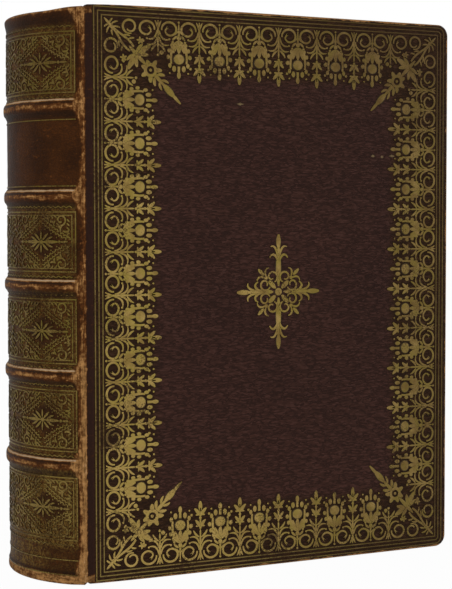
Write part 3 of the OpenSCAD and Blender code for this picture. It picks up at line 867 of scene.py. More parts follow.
class Grower(Graph):
    """Geometry Nodes tree with named inputs, given with their kinds."""

    def __init__(self, name, inputs):
        super().__init__(bpy.data.node_groups.new(name, "GeometryNodeTree"))
        for key, kind in inputs.items():
            self.tree.interface.new_socket(name=key, in_out="INPUT",
                                           socket_type=f"NodeSocket{kind}")
        self.given = self.add("NodeGroupInput").outputs

    def join(self, parts):
        join = self.add("GeometryNodeJoinGeometry")
        for part in parts:
            self.feed(join.inputs[0], part)
        return join.outputs[0]

    def copies(self, piece, points, turn=(0, 0, 0)):
        return self.add("GeometryNodeInstanceOnPoints", {
            "Points": points, "Instance": piece, "Rotation": turn}).outputs[0]

    def row(self, piece, count, first, step):
        """Copies of a piece along a straight line."""
        line = self.add("GeometryNodeMeshLine", {"Count": count, "Start Location": first,
                                                 "Offset": step}, mode="OFFSET")
        return self.copies(piece, line.outputs[0])

    def real(self, copies):
        return self.add("GeometryNodeRealizeInstances", {"Geometry": copies}).outputs[0]

    def places(self):
        where = self.add("GeometryNodeInputPosition").outputs[0]
        return self.add("ShaderNodeSeparateXYZ", {0: where}).outputs

    def gilded(self, geometry):
        """Ends the tree with its faces in the gold it is given."""
        return self.result(self.add("GeometryNodeSetMaterial", {
            "Geometry": geometry, "Material": self.given["Gold"]}).outputs[0])

    def result(self, geometry):
        self.tree.interface.new_socket(name="Tooling", in_out="OUTPUT",
                                       socket_type="NodeSocketGeometry")
        self.feed(self.add("NodeGroupOutput").inputs[0], geometry)
        return self.tree


def row_tree():
    """Node group that repeats a flower along the four sides of a frame, growing inwards."""
    grower = Grower("Row of flowers", {"Flower": "Geometry", **FRAME_INPUTS})
    given = grower.given
    sides = []
    for quarter in range(4):
        way, room = (("Upright", "Half Width"), ("Level", "Half Height"))[quarter % 2]
        count, pitch = given[f"{way} Count"], given[f"{way} Pitch"]
        gaps = grower.math("SUBTRACT", count, 1.0)
        first = grower.point(X=grower.product(given[room], -1.0),
                             Y=grower.product(gaps, pitch, -0.5))
        row = grower.row(given["Flower"], count, first, grower.point(Y=pitch))
        turned = grower.add("GeometryNodeTransform", {
            "Geometry": row, "Rotation": (0, 0, quarter * math.pi / 2)})
        sides.append(turned.outputs[0])
    return grower.result(grower.join(sides))


def border_tree(row):
    """Modifier that sets three kinds of flower along the four sides of a cover's frame."""
    grower = Grower("Border of flowers", {
        "Drawing": "Geometry", "Oval Flower": "Object", "Palmette": "Object",
        "End Palmette": "Object", **FRAME_INPUTS, "Gold": "Material"})
    given = grower.given
    rows = {kind: {key: given[key] for key in FRAME_INPUTS}
            for kind in ("Oval Flower", "Palmette", "End Palmette")}
    for way in ("Upright", "Level"):
        count, pitch = given[f"{way} Count"], given[f"{way} Pitch"]
        rows["Palmette"][f"{way} Count"] = grower.math("SUBTRACT", count, 1.0)
        rows["End Palmette"][f"{way} Count"] = 2
        rows["End Palmette"][f"{way} Pitch"] = grower.product(pitch, count)
    made = []
    for kind, values in rows.items():
        flower = grower.add("GeometryNodeObjectInfo", {"Object": given[kind]})
        group = grower.add("GeometryNodeGroup", node_tree=row)
        for key, value in {"Flower": flower.outputs["Geometry"], **values}.items():
            grower.feed(group.inputs[key], value)
        made.append(group.outputs[0])
    return grower.gilded(grower.real(grower.join(made)))


def corner_tree():
    """Modifier that sets the drawn spray in the four corners of a cover's frame."""
    grower = Grower("Corner sprays", {"Spray": "Geometry", "Half Width": "Float",
                                      "Half Height": "Float", "Gold": "Material"})
    given = grower.given
    grid = grower.add("GeometryNodeMeshGrid", {
        "Size X": grower.product(given["Half Width"], 2.0),
        "Size Y": grower.product(given["Half Height"], 2.0), "Vertices X": 2, "Vertices Y": 2})
    place = grower.places()
    x, y = (grower.math("SIGN", place[axis]) for axis in ("X", "Y"))
    turn = grower.point(Z=grower.total(grower.math("ARCTAN2", y, x), 0.75 * math.pi))
    return grower.gilded(grower.real(grower.copies(given["Spray"], grid.outputs[0], turn)))


def bend_tree():
    """Modifier that repeats a panel's gold up the spine and bends it onto the arc.

    The drawing has the way round the arc along X, the height along Y and its relief along Z."""
    grower = Grower("Panels of the spine", {
        "Panel": "Geometry", "First Height": "Float", "Pitch": "Float", "Radius": "Float",
        "Centre": "Float", "Count": "Int", "Gold": "Material"})
    given = grower.given
    row = grower.row(given["Panel"], given["Count"], grower.point(Y=given["First Height"]),
                     grower.point(Y=given["Pitch"]))
    place = grower.places()
    angle = grower.math("DIVIDE", place["X"], given["Radius"])
    reach = grower.total(given["Radius"], place["Z"])
    x = grower.math("SUBTRACT", given["Centre"],
                    grower.product(reach, grower.math("COSINE", angle)))
    y = grower.product(reach, grower.math("SINE", angle))
    bent = grower.add("GeometryNodeSetPosition", {
        "Geometry": grower.real(row), "Position": grower.point(X=x, Y=y, Z=place["Y"])})
    return grower.gilded(bent.outputs[0])


def set_inputs(modifier, values):
    """Sets a Geometry Nodes modifier's inputs by the names of its tree's sockets."""
    sockets = {item.name: item.identifier for item in modifier.node_group.interface.items_tree
               if item.item_type == "SOCKET" and item.in_out == "INPUT"}
    for name, value in values.items():
        modifier[sockets[name]] = value


def grown(obj, tree, values):
    """Plain mesh object of what a Geometry Nodes tree makes of an object, which is removed."""
    modifier = obj.modifiers.new("Grown", "NODES")
    modifier.node_group = tree
    set_inputs(modifier, values)
    graph = bpy.context.evaluated_depsgraph_get()
    mesh = bpy.data.meshes.new_from_object(obj.evaluated_get(graph))
    name = obj.name
    obj.modifiers.remove(modifier)
    bpy.data.objects.remove(obj)
    return linked(name, mesh)


def hinge_body(side):
    return f"{side}_cover"


# Operators

class BOOK_OT_stage(bpy.types.Operator):
    """Make the floor, the lamps, the pale surroundings and the camera"""
    bl_idname = "book.stage"
    bl_label = "Floor, Lamps and Camera"

    def execute(self, context):
        studio = context.scene.book_studio
        context.scene.view_settings.view_transform = "Standard"
        self.floor(studio.floor_colour)
        self.surroundings(context.scene)
        self.lamp("key", (-0.5, -0.95, 0.3), 0.4, studio.key_power)
        self.lamp("fill", (1.2, -1.1, 0.5), 1.0, studio.fill_power)
        self.camera(context.scene, studio.lens)
        return {"FINISHED"}

    def floor(self, colour):
        """Large pale floor that looks white round the book and keeps its shadow."""
        size = 6.0
        mesh = bpy.data.meshes.new("floor")
        mesh.from_pydata([(x * size, y * size, 0) for x, y in ((-1, -1), (1, -1), (1, 1), (-1, 1))],
                         [], [(0, 1, 2, 3)])
        finish = Finish("pale_floor", roughness=0.9, specular=0.1)
        finish.set("Base Color", finish.mix(finish.noise(0.4), colour, shade(colour, 0.99)))
        glow = finish.add("ShaderNodeEmission", {"Strength": 1.0})
        whiten = finish.add("ShaderNodeMixShader", {
            0: finish.product(finish.seen(), 0.97), 1: finish.shader.outputs[0],
            2: glow.outputs[0]})
        finish.feed(finish.tree.nodes["Material Output"].inputs["Surface"], whiten.outputs[0])
        mesh.materials.append(finish.material)
        linked("floor", mesh)

    def surroundings(self, scene):
        """World that lights the book softly and is white to the eye."""
        world = bpy.data.worlds.new("Studio")
        scene.world = world
        world.use_nodes = True
        graph = Graph(world.node_tree)
        strength = graph.add("ShaderNodeMapRange", {"Value": graph.seen(), "To Min": 0.45,
                                                    "To Max": 1.0})
        back = world.node_tree.nodes["Background"]
        graph.feed(back.inputs["Color"], (1, 1, 1))
        graph.feed(back.inputs["Strength"], strength.outputs[0])

    def lamp(self, name, place, size, power):
        data = bpy.data.lights.new(name, "AREA")
        data.size = size
        data.energy = power
        lamp = linked(name, data)
        lamp.location = place
        aim = Vector((0, 0, 0.12)) - lamp.location
        lamp.rotation_euler = aim.to_track_quat("-Z", "Y").to_euler()

    def camera(self, scene, lens):
        """Camera at the photograph's place, a little left of the cover's middle and level."""
        yaw, pitch, roll = (math.radians(a) for a in (25.634, 2.806, -0.078))
        ahead = Vector((math.sin(yaw) * math.cos(pitch), math.cos(yaw) * math.cos(pitch),
                        -math.sin(pitch)))
        data = bpy.data.cameras.new("camera")
        data.lens = lens
        camera = linked("camera", data)
        camera.location = (-0.30293, -0.638895, 0.156967)
        facing = ahead.to_track_quat("-Z", "Y") @ Quaternion((0, 0, 1), roll)
        camera.rotation_euler = facing.to_euler()
        scene.camera = camera


class BOOK_OT_covers(bpy.types.Operator):
    """Wrap both covers in leather with worn corners, and finish their boards"""
    bl_idname = "book.covers"
    bl_label = "Covers"

    def execute(self, context):
        leather = cover_leather()
        board = fibrous("grey_board", srgb(128, 112, 88), 1.2 * MM, 0.05 * MM)
        for side in SIDES:
            for obj, material, slot, node in (
                    (self.leather(side), leather, "cover_leather", f"{side}_leather"),
                    (self.board(side), board, "millboard", f"{side}_board")):
                dress(smooth(obj, math.radians(40)), material, hinge_body(side))
                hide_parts(node)
        return {"FINISHED"}

    def board(self, side):
        """Millboard inside the leather, which keeps the outline of the worn cover."""
        ring = self.ring(*box_mm(f"{side}_leather"), LEATHER_T + 0.05)
        return self.solid(f"{side}_cover_board", side, [(ring, LEATHER_T), (ring, COVER_T - 0.6)])

    def leather(self, side):
        """Cover as one solid, its fore corners rounded by wear, with a bed for the pastedown."""
        low, high = box_mm(f"{side}_leather")
        bed_low, bed_high = box_mm(f"{side}_pastedown")
        bed = HALF_T - min(abs(bed_low.y), abs(bed_high.y)) - (bed_high.y - bed_low.y)
        r = 1.1
        profile = [(r - r * math.sin(a), r - r * math.cos(a))
                   for a in (math.radians(18 * k) for k in range(6))]
        profile += [(0.0, COVER_T - 0.7), (0.2, COVER_T - 0.2), (0.7, COVER_T)]
        rings = [(self.ring(low, high, inset), depth) for inset, depth in profile]
        rings += [(self.ring(bed_low, bed_high, -0.02, False), depth) for depth in (COVER_T, bed)]
        return self.solid(f"{side}_cover_leather", side, rings)

    def solid(self, name, side, rings):
        """Closed solid through rings of points, each at a depth behind the face of the cover."""
        return shell(name, [[(x, SIDES[side] * (HALF_T - depth), z) for x, z in ring]
                            for ring, depth in rings])

    def ring(self, low, high, inset, worn=True):
        """Outline of a cover, its corners on the fore side rounder than those at the joint."""
        points = []
        corners = ((low.x, low.z), (high.x, low.z), (high.x, high.z), (low.x, high.z))
        drops = (TAIL_WEAR, 0.0, 0.0, HEAD_WEAR) if worn else (0.0, 0.0, 0.0, 0.0)
        for i, ((x, z), drop) in enumerate(zip(corners, drops)):
            radius = (FORE_CORNER_R if x == high.x else JOINT_CORNER_R) if worn else BED_CORNER_R
            radius = max(radius, inset + 0.05)
            u, v = (1 if x == low.x else -1), (1 if z == low.z else -1)
            slope = [(x + place, z + v * (inset + drop * math.exp(-place / WEAR_REACH)))
                     for place in (3.5, 7, 12, 19, 28, 40, 60)]
            turn = [(x + u * radius + (radius - inset) * math.cos(angle),
                     z + v * (radius + drop) + (radius - inset) * math.sin(angle))
                    for angle in (math.radians(90 * i + 180 + 90 * k / 8) for k in range(9))]
            points += {0: turn + slope, 3: slope[::-1] + turn}.get(i, turn)
        return points


def repaint(material, *nodes):
    """Puts a material on CAD nodes."""
    for node in nodes:
        slots = frame["nodes"][node].data.materials
        slots.clear()
        slots.append(material)


def band_height(z):
    """How far the spine leather stands out over its bands at a height, as a share of their rise."""
    total = 0.0
    for band in BAND_Z:
        s = abs(z - band) / (BAND_W / 2)
        if s < 1.35:
            total = max(total, math.sqrt(max(0.0, 1 - min(1, s) ** 3)) if s < 0.93
                        else 0.443 * (1 - smoothstep(0.93, 1.35, s)))
    return total


def bump_at(value, centre, width):
    """Smooth bump of height 1 at a centre."""
    return math.exp(-((value - centre) / width) ** 2)


def spine_wear(arc, z, sign):
    """How bare, dark and gilt the spine is, and how much joint, arc millimetres from its middle. Bare
    is real rubbing with a painted highlight on each band's upper edge; dark is painted shade beside
    the joint and round the bands, with a darker band below the head cap, a dark line near the tail and
    the dark lozenges; gilt is real haze of gold, raised in the lowest panel and the tail partly as
    painted light.
    """
    arc = abs(arc)
    side = 5.0 * sign
    near_band = max(bump_at(z, band + 0.5, 5.5) for band in BAND_Z)
    head, tail = bump_at(z, SPINE_H + 1, 8), bump_at(z, 4, 6)
    lower = 1 - smoothstep(70, 125, z)
    start = STRIP_START - 3.4 * near_band - 5.2 * head - 2.0 * tail - 1.3 * lower
    start += 0.7 * wander(z / 4, side, 1.0) + 0.4 * wander(z / 1.3, side, 6.0)
    end = STRIP_END + 0.45 * wander(z / 2.2, side, 4.0) + 0.3 * wander(z / 0.9, side, 2.0)
    strip = smoothstep(start - 0.5, start + 0.5, arc) * (1 - smoothstep(end - 0.3, end + 0.3, arc))
    bare_and_highlight = strip * (0.5 + 0.2 * max(near_band, head, tail)
                    + lower * (0.15 + 0.4 * smoothstep(STRIP_START - 0.5, 44, arc)))
    on_cover = smoothstep(end - 0.2, end + 0.4, arc)
    inside = 1 - smoothstep(PANEL_HALF_W - 0.9, PANEL_HALF_W + 0.5, arc)
    level = min(((z - band) / (BAND_W / 2) for band in BAND_Z), key=abs)
    # Painted shade on the cover beside the joint's ridge, lighter further out.
    darks = [0.4 * on_cover * (1 - 0.5 * smoothstep(47.4, 48.6, arc))]
    if abs(level) < 1.6:
        streak = 0.25 * wander(arc / 9, z / 1.2, 8.0)
        # On each band: a painted highlight along its upper edge, and a real rubbed stripe along its
        # middle.
        bare_and_highlight = max(bare_and_highlight, inside * (1.9 * bump_at(level, 0.88, 0.16)
                                   + (0.62 + streak) * bump_at(level, -0.05, 0.42)))
        # Painted shade round each band: in the crease above it, in a line below its highlight, and
        # over its lower half, which faces away from the light above.
        darks += [inside * 0.7 * bump_at(level, 1.15, 0.12),
                  inside * 0.5 * bump_at(level, 0.48, 0.1),
                  inside * 0.6 * (1 - smoothstep(-1.0, -0.5, level))]
    rim = 1 - smoothstep(1.6, 2.6, min(z - 2.6, SPINE_H - z + 0.6))
    bare_and_highlight = max(bare_and_highlight, (0.8 if z < 9 else 0.6) * rim)
    darks += [0.6 * bump_at(z, 242.5, 2.2) * inside * (1 - rim), 0.7 * bump_at(z, 5.4, 0.4) * inside]
    gilt = 0.0
    for i, (low, high) in enumerate(PANELS):
        if low - 4 < z < high + 4 and i != PLAIN_PANEL:
            panel = smoothstep(low - 4, low - 2, z) * (1 - smoothstep(high + 2, high + 4, z))
            x, y = abs(arc - BLOCK_X - 2) / 12.5, abs(z - (low + high) / 2) / 8.2
            lozenge = 1 - smoothstep(0.75, 1.0, x + y)
            gilt = panel * (1 - smoothstep(PANEL_HALF_W - 0.5, PANEL_HALF_W + 0.1, arc))
            # The lowest panel takes more gilt haze than the rest: real gold haze, raised partly as
            # painted light on the lower spine.
            gilt *= (1 - 0.85 * lozenge) * (1.6 if i == 0 else 0.6)
            darks.append(0.3 * lozenge)
    # The tail's gilt haze is raised too, partly as painted light on the lower spine.
    if z < 15:
        gilt = 1.1 * inside * smoothstep(5, 6.5, z) * (1 - 0.8 * smoothstep(18, 30, -sign * arc))
    return bare_and_highlight, max(darks), gilt, strip - on_cover


def wear_floats(looks):
    """Attributes that the spine's leather reads, from what spine_wear gives for each point."""
    return dict(zip(("rub", "shade", "gilt", "seam"), zip(*looks)))


class BOOK_OT_spine(bpy.types.Operator):
    """Mould the spine leather over its bands and caps, and rub its edges"""
    bl_idname = "book.spine"
    bl_label = "Spine Leather"

    def execute(self, context):
        obj = self.build()
        dress(smooth(obj), spine_leather(), "book_block")
        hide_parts("spine_leather")
        return {"FINISHED"}

    def outline(self):
        """Section through the leather as points of radius and height: outer face, then back."""
        inner = SPINE_R - LEATHER_T
        lip = inner - CAP_W
        turns = [(CAP_R * math.sin(a), CAP_R * math.cos(a))
                 for a in (math.radians(15 * k) for k in range(7))]
        outer = [(lip, 0.0)]
        outer += [(SPINE_R - CAP_R + across, CAP_R - up) for across, up in turns[:-1]]
        z = CAP_R
        while z < SPINE_H - CAP_R:
            outer.append((SPINE_R, z))
            near = min(abs(z - band) for band in BAND_Z)
            z += 0.28 if near < 4.2 else 1.2
        outer += [(SPINE_R - CAP_R + across, SPINE_H - CAP_R + up) for up, across in turns]
        outer.append((lip, SPINE_H))
        back = [(lip, SPINE_H - LEATHER_T), (inner - 1.0, SPINE_H - LEATHER_T)]
        z = SPINE_H - LEATHER_T - 1.0
        while z > LEATHER_T + 1.0:
            back.append((inner, z))
            z -= 4.0
        back += [(inner, LEATHER_T + 1.0), (inner - 1.0, LEATHER_T), (lip, LEATHER_T)]
        return outer, back

    def build(self):
        outer, back = self.outline()
        turns = 120
        rings, looks = [], []
        for i in range(turns + 1):
            angle = SPINE_EDGE * (2 * i / turns - 1)
            edge = abs(angle) / SPINE_EDGE
            fade = 1 - smoothstep(0.84, 0.985, edge)
            arc = angle * SPINE_R
            rise = 1.3 * smoothstep(0.55, 1.0, edge)
            ring = []
            for j, (radius, z) in enumerate(outer + back):
                lift = 0.0
                look = (0.0, 0.0, 0.0, 0.0)
                if j < len(outer) and radius > SPINE_R - 2.5:
                    uneven = 0.5 + 0.5 * wander(arc / 14, z / 17, 3.0)
                    fine = wander(arc / 3.5, z / 4, 9.0)
                    lift = (BAND_RISE - 0.1) * band_height(z) * fade - 0.22 * uneven
                    lift -= 0.05 * (1 + fine)
                    flare = max(smoothstep(SPINE_H - 6.5, SPINE_H - 1.5, z), 1 - smoothstep(1.5, 8, z))
                    lift += CAP_FLARE * flare * fade
                    look = spine_wear(arc, z, -1 if angle < 0 else 1)
                reach = radius + lift
                ring.append((SPINE_X - reach * math.cos(angle), reach * math.sin(angle),
                             z + rise * smoothstep(SPINE_H - 7, SPINE_H - 1.5, z)))
                looks.append(look)
            rings.append(ring)
        return shell("spine_cover_leather", rings, wear_floats(looks))


class BOOK_OT_joints(bpy.types.Operator):
    """Stretch leather over each outer joint and paper over each inner one"""
    bl_idname = "book.joints"
    bl_label = "Joints"

    def execute(self, context):
        leather = bpy.data.materials["rubbed_calf"]
        endpaper = paper("joint_paper", context.scene.book_paper.endpaper_colour)
        for side, sign in SIDES.items():
            for obj, material, slot, start, end in (
                    (self.outer(side, sign), leather, "spine_leather", (-0.2, 0.0), (1.1, 0.0)),
                    (self.inner(side, sign), endpaper, "endpaper", (-0.08, -0.02), (0.39, -0.1))):
                dress(smooth(obj), material)
                self.place(*start, sign)
                self.place(*end, sign)
                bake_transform(obj)
        return {"FINISHED"}

    def place(self, past, out, sign):
        """Point past a joint and out from the face of its cover, in metres."""
        return (JOINT_X + past) * MM, sign * (HALF_T + out) * MM, COVER_H / 2 * MM

    def outer(self, side, sign):
        """Strip of rubbed leather from the edge of the spine, over the ridge, on to the cover."""
        across = []
        for degrees, lift in ((50.9, -0.3), (51.5, -0.02), (52.4, 0.14), (53.3, 0.28)):
            angle = math.radians(degrees)
            across.append((SPINE_X - JOINT_X - (SPINE_R + lift) * math.cos(angle),
                           (SPINE_R + lift) * math.sin(angle)))
        across += [(x, HALF_T + out) for x, out in (
            (-0.45, 0.45), (0.05, 0.5), (0.5, 0.42), (0.95, 0.24), (1.3, 0.08), (1.9, 0.05),
            (2.7, 0.05), (3.5, 0.04), (3.95, -0.03))]
        walk = [(x, y, 0.0) for x, y in across] + [(x, y, 0.25) for x, y in reversed(across)]
        ridge = SPINE_R * math.atan2(HALF_T + 0.5, SPINE_X - JOINT_X)
        rows = 300
        rings, looks = [], []
        for i in range(rows + 1):
            ring = []
            for x, y, depth in walk:
                z = self.height(x, i / rows)
                uneven = 0.07 * wander(x / 1.5, z / 2.5, sign * 5.0)
                ring.append((JOINT_X + x, sign * (min(y + uneven, HALF_T + 0.56) - depth), z))
                arc = SPINE_R * math.atan2(y, SPINE_X - JOINT_X - x) if x < 0 else ridge + x
                looks.append(spine_wear(arc, z, sign))
            rings.append(ring)
        return shell(f"{side}_joint_leather", rings, wear_floats(looks))

    def height(self, x, share):
        """Height of a point of the strip, which rises from the spine's head to the cover's."""
        past = max(0.0, x - 1)
        low = 1.5 - 0.2 * past
        rise = smoothstep(-2.9, 0.3, x)
        head = (SPINE_H + 0.6) * (1 - rise) + (COVER_H - 2.1) * rise
        return low + (head + 0.2 * past - low) * share

    def inner(self, side, sign):
        """Folded strip of endpaper between the shoulder of the pages and the pastedown."""
        fold = ((0.78, 33.4), (0.42, 35.2), (0.15, 36.7), (0.3, 37.2), (0.7, 37.3), (1.02, 37.0),
                (1.08, 35.4), (1.1, 33.8))
        middle = Vector((0.6, 34.5))
        half = 0.05
        section = []
        for shift, row in ((-half, fold), (half, fold[::-1])):
            for place in map(Vector, row):
                section.append(place + (place - middle).normalized() * shift)
        low, high = box_mm("text_block")
        return shell(f"{side}_inner_joint", [[(JOINT_X + x, sign * y, z) for x, y in section]
                                             for z in (low.z, high.z)])


class BOOK_OT_cover_gold(bpy.types.Operator):
    """Tool the lines, flowers and corner sprays on both covers, and the device on the front"""
    bl_idname = "book.cover_gold"
    bl_label = "Gold on the Covers"

    def execute(self, context):
        gold = old_gold()
        dull = old_gold("line_gold", 0.55, 0.3)
        frame_size = {"Half Width": INNER_HALF_W * MM, "Half Height": INNER_HALF_H * MM,
                      "Gold": gold}
        corners, border = corner_tree(), border_tree(row_tree())
        for side in SIDES:
            flowers = self.flowers()
            seed = Tooling()
            seed.dome((0, 0), 0.1)
            drawing = grown(seed.object(f"{side}_border_gold"), border,
                            {**frame_size, **self.border_sizes(), **flowers})
            for flower in flowers.values():
                bpy.data.objects.remove(flower)
            self.place(drawing, side, gold, f"{side}_gilt_border")
            spray = Tooling()
            draw_corner(spray)
            drawing = grown(spray.object(f"{side}_corner_gold"), corners, frame_size)
            self.place(drawing, side, gold, f"{side}_gilt_corners")
            lines = Tooling()
            for i in range(LINE_COUNT):
                out = INNER_INSET - i * LINE_PITCH
                lines.rectangle(INNER_HALF_W + out, INNER_HALF_H + out, LINE_W,
                                -SIDES[side], 3.4 - 1.5 * i if i < 2 else 0.0)
            self.place(lines.object(f"{side}_line_gold"), side, dull, f"{side}_gilt_lines")
        device = Tooling()
        low, high = box_mm("front_gilt_centre")
        draw_device(device, (high.x - low.x) / 2, (high.z - low.z) / 2)
        self.place(device.object("front_device_gold"), "front", gold, "front_gilt_centre")
        return {"FINISHED"}

    def border_sizes(self):
        """How many flowers each side of the frame takes, and their pitch."""
        sizes = {}
        for name, half in (("Upright", INNER_HALF_H), ("Level", INNER_HALF_W)):
            room = 2 * (half - BORDER_W)
            count = round(room / FLOWER_PITCH)
            sizes[f"{name} Count"] = count
            sizes[f"{name} Pitch"] = room / count * MM
        return sizes

    def flowers(self):
        drawn = {"Oval Flower": Tooling(), "Palmette": Tooling(), "End Palmette": Tooling()}
        draw_oval_flower(drawn["Oval Flower"])
        draw_palmette(drawn["Palmette"], True)
        draw_palmette(drawn["End Palmette"], False)
        return {name: tool.object(name.lower().replace(" ", "_")) for name, tool in drawn.items()}

    def place(self, drawing, side, gold, node):
        drawing.data.transform(cover_plane(side))
        dress(smooth(drawing, math.radians(80)), gold, hinge_body(side))
        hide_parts(node)


def draw_zigzag(tool, half_w, y, pitch=2.6, rise=0.7):
    """Row of small points along a line."""
    count = int(half_w / pitch)
    line = [Vector((i * pitch / 2, y + (rise / 2 if i % 2 else -rise / 2)))
            for i in range(-2 * count, 2 * count + 1)]
    tool.stroke(line, (0.6, 0.6))


def draw_arcade(tool, placed, start, end, sag, x_side, y_side, size=0.85, width=0.62):
    """String of small arches along one side of a lozenge that sags inwards."""
    a, b = Vector(start), Vector(end)
    middle = a.lerp(b, 0.5) * sag
    steps = 40
    line = curve(a, a.lerp(middle, 0.66), b.lerp(middle, 0.66), b, steps)
    length = sum((q - p).length for p, q in zip(line, line[1:]))
    count = round(length / (1.9 * size))
    ahead = math.degrees(math.atan2(b.y - a.y, b.x - a.x))
    for i in range(count):
        place = line[round((i + 0.5) / count * steps)]
        arch = coil(place, (size, size), (ahead, ahead - 180), (1, 1), 5)
        tool.stroke(placed(arch, x_side, y_side), (width, width))


def draw_block(tool, middle, half_h):
    """Ornament of half a panel: a star in a dark lozenge, strings of arches and four scrolls."""
    high = half_h - 2.5

    def placed(points, x_side=1, y_side=1):
        return [Vector((middle + x_side * p[0], y_side * p[1])) for p in points]

    tool.dome((middle, 0), 1.3, 1.1, sides=10)
    for x in (-1, 1):
        tool.leaf(*placed(((0.8, 0), (8.8, 0)), x), 2.0)
        tool.dome(placed([(9.6, 0)], x)[0], 0.85, sides=8)
        tool.leaf(*placed(((13.6, 0), (10.4, 0)), x), 1.4)
        for y in (-1, 1):
            def leaf(root, tip, width, bend, steps=4):
                tool.leaf(*placed((root, tip), x, y), width, bend * x * y, 1, steps)

            def dome(place, size, sides=7):
                tool.dome(placed([place], x, y)[0], size, sides=sides)

            leaf((2.4, 0.3), (6.2, 2.2), 1.2, 0.08, 6)
            leaf((0.7, 0.6), (3.9, 3.6), 1.4, 0.05, 6)
            for place in ((5.4, 3.6), (8.3, 1.9), (2.3, 5.4)):
                dome(place, 0.42)
            for reach, rise, sag in ((12.6, 7.6, 0.86), (14.6, 9.6, 0.94)):
                draw_arcade(tool, placed, (reach, 0.9), (0.8, min(rise, high)), sag, x, y)
            scroll = coil((10.4, high - 1.5), (2.1, 2.1), (-150, 260), (1.15, 1.0, 1.0, 0.8, 0.3))
            tool.stroke(placed(scroll, x, y), (0.7, 1.0, 1.0, 0.9, 0.8))
            dome(scroll[-1], 0.6, 8)
            for i in range(4):
                leaf((1.0 + 1.9 * i, high + 1.0), (2.6 + 1.9 * i, high - 0.7), 1.0, 0.1)
            for i in range(5):
                leaf((14.6, 1.6 + 1.75 * i), (13.2, 2.9 + 1.75 * i), 1.0, 0.1)
            dome((13.9, high + 0.6), 0.5)
            for across, share in ((12.8, 0.36), (9.4, 0.56), (6.2, 0.76), (3.4, 0.9)):
                up = share * high
                leaf((across + 1.5, up + 1.1), (across - 1.3, up + 0.9), 1.3, 0.25)
                leaf((across + 1.5, up + 1.1), (across + 0.9, up - 1.4), 1.2, -0.25)
    for y in (-1, 1):
        tool.leaf(*placed(((0, 0.9), (0, 4.6)), 1, y), 1.1)


def draw_panel(tool, half_w, half_h):
    """Gold of one panel: two frames round two stars and a leafy middle."""
    tool.rectangle(half_w, half_h, 0.75, steps=36)
    tool.rectangle(half_w - 1.7, half_h - 1.5, 0.6, steps=36)
    high = half_h - 2.6
    for x in (-1, 1):
        draw_block(tool, x * BLOCK_X, half_h)
        for y in (-1, 1):
            for centre in ((3.4, high - 1.9), (4.6, 3.4)):
                scroll = coil(centre, (2.0, 2.0), (210, -190), (1.15, 1.0, 1.0, 0.8, 0.3))
                line = [Vector((x * p[0], y * p[1])) for p in scroll]
                tool.stroke(line, (0.7, 1.0, 1.0, 0.9, 0.8))
                tool.dome(line[-1], 0.6, sides=8)
            for i in range(5):
                for across, up, right, pitch in ((0.8, 1.2, 1.6, 2.1), (7.4, 0.6, 1.2, 2.2)):
                    root = (x * across, y * (up + pitch * i))
                    tip = (x * (across + right), y * (up + 1.4 + pitch * i))
                    tool.leaf(root, tip, 1.1, 0.1 * x * y, 1, 4)
    for y in (-1, 1):
        tool.stroke(straight((0, 0), (0, y * high)), (0.7, 0.6))
    tool.dome((0, 0), 1.1, sides=10)


class BOOK_OT_spine_gold(bpy.types.Operator):
    """Tool the frames and flowers on the panels of the spine, and the lines beside its bands"""
    bl_idname = "book.spine_gold"
    bl_label = "Gold on the Spine"

    def execute(self, context):
        # A darker copy of the gold: its lower tone is painted shade, as the spine is turned from the
        # light; its extra wear is real.
        gold = old_gold("spine_gold", 0.66, 0.1, 0.45)
        tree = bend_tree()
        parts = []
        for i, (low, high) in enumerate(PANELS):
            tool = Tooling()
            half_h = (high - low) / 2
            if i == PLAIN_PANEL:
                for y in (-half_h, half_h):
                    tool.stroke(straight((-PANEL_HALF_W, y), (PANEL_HALF_W, y), 40), (0.6, 0.6))
            else:
                draw_panel(tool, PANEL_HALF_W, half_h)
                for y in (-1, 1):
                    draw_zigzag(tool, PANEL_HALF_W, y * (half_h + 1.8))
            parts.append(self.bend(tree, tool, f"panel_{i}", (low + high) / 2, -0.12, gold))
        for i, (z, lift) in enumerate(((4.3, 0.3), (10.7, -0.12))):
            tool = Tooling()
            tool.stroke(straight((-PANEL_HALF_W, 0), (PANEL_HALF_W, 0), 40), (0.6, 0.6))
            parts.append(self.bend(tree, tool, f"tail_line_{i}", z, lift, gold))
        with context.temp_override(active_object=parts[0], selected_editable_objects=parts):
            bpy.ops.object.join()
        made = parts[0]
        made.name = made.data.name = "spine_panel_gold"
        dress(smooth(made, math.radians(80)), gold, "book_block")
        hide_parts("spine_gilding")
        return {"FINISHED"}

    def bend(self, tree, tool, name, z, lift, gold):
        """Tooling bent round the spine at a height, lifted from the leather's usual face."""
        return grown(tool.object(name), tree, {
            "First Height": z * MM, "Pitch": 0.0, "Count": 1,
            "Radius": (SPINE_R + lift) * MM, "Centre": SPINE_X * MM, "Gold": gold})


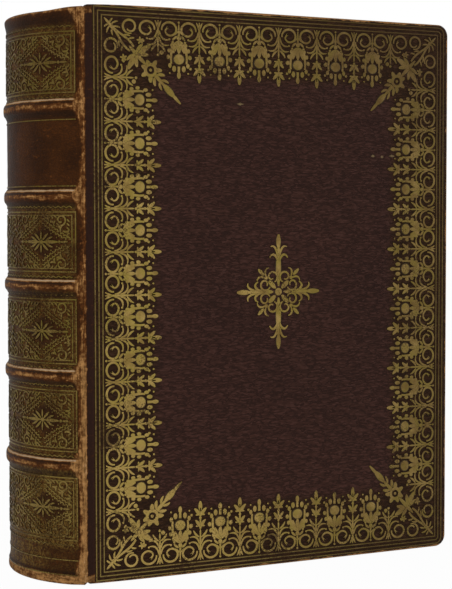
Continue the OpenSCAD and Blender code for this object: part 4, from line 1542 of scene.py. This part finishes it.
class BOOK_OT_pages(bpy.types.Operator):
    """Finish the pages' edges, the endpapers and the layers on the back of the pages"""
    bl_idname = "book.pages"
    bl_label = "Pages"

    def execute(self, context):
        numbers = range(1, BAND_COUNT + 1)
        repaint(page_edges(), "text_block")
        repaint(paper("endpaper", context.scene.book_paper.endpaper_colour),
                *(f"{side}_{sheet}" for side in SIDES for sheet in ("flyleaf", "pastedown")))
        for name, colour, size, depth, nodes in (
                ("lining_cloth", (184, 170, 138), 0.6, 0.1, ["spine_lining"]),
                ("lining_paper", (158, 136, 98), 2.0, 0.05, ["spine_hollow"]),
                ("sewing_cord", (200, 180, 138), 0.4, 0.15, [f"sewing_cord_{i}" for i in numbers]),
                ("band_core", (122, 90, 56), 1.0, 0.1, [f"raised_band_{i}" for i in numbers])):
            repaint(fibrous(name, srgb(*colour), size * MM, depth * MM), *nodes)
        return {"FINISHED"}


class BOOK_OT_endbands(bpy.types.Operator):
    """Work silk thread in two colours over the cords at head and tail"""
    bl_idname = "book.endbands"
    bl_label = "Endbands"

    def execute(self, context):
        finish = Finish("worked_silk", roughness=0.5, specular=0.3)
        _, across, _ = finish.axes()
        turn, thread = (finish.math("FRACT", finish.math("DIVIDE", across, width * MM))
                        for width in (2.4, 0.4))
        body = finish.mix(finish.math("GREATER_THAN", turn, 0.5), srgb(126, 44, 34),
                          srgb(196, 170, 118))
        # Darker between the threads: painted shade in the grooves between them.
        ridge = finish.ramp(finish.apart(thread, 0.5), 0.5, 0.1)
        finish.set("Base Color", finish.mix(ridge, srgb(60, 30, 22), body))
        finish.bump(ridge, 0.12 * MM)
        repaint(finish.material, "headband", "tailband")
        return {"FINISHED"}


class BOOK_PT_panel(bpy.types.Panel):
    """Lists the steps that dress the book and what can be changed before them"""
    bl_label = "Antique Book"
    bl_space_type = "VIEW_3D"
    bl_region_type = "UI"
    bl_category = "Book"

    def draw(self, context):
        layout = self.layout
        for step in STEPS:
            layout.operator(step.bl_idname)
        for name, group in GROUPS.items():
            box = layout.box()
            for key in group.__annotations__:
                box.prop(getattr(context.scene, name), key)


STEPS = (BOOK_OT_stage, BOOK_OT_covers, BOOK_OT_spine, BOOK_OT_joints, BOOK_OT_cover_gold,
         BOOK_OT_spine_gold, BOOK_OT_pages, BOOK_OT_endbands)
GROUPS = {"book_leather": LeatherSettings, "book_gold": GoldSettings, "book_paper": PaperSettings,
          "book_studio": StudioSettings}


def register():
    for group in GROUPS.values():
        bpy.utils.register_class(group)
    for name, group in GROUPS.items():
        setattr(bpy.types.Scene, name, PointerProperty(type=group))
    for step in STEPS:
        bpy.utils.register_class(step)
    bpy.utils.register_class(BOOK_PT_panel)


def unregister():
    bpy.utils.unregister_class(BOOK_PT_panel)
    for step in reversed(STEPS):
        bpy.utils.unregister_class(step)
    for name, group in GROUPS.items():
        delattr(bpy.types.Scene, name)
        bpy.utils.unregister_class(group)


def main():
    register()
    for step in STEPS:
        family, name = step.bl_idname.split(".")
        getattr(getattr(bpy.ops, family), name)()


if __name__ == "__main__":
    main()
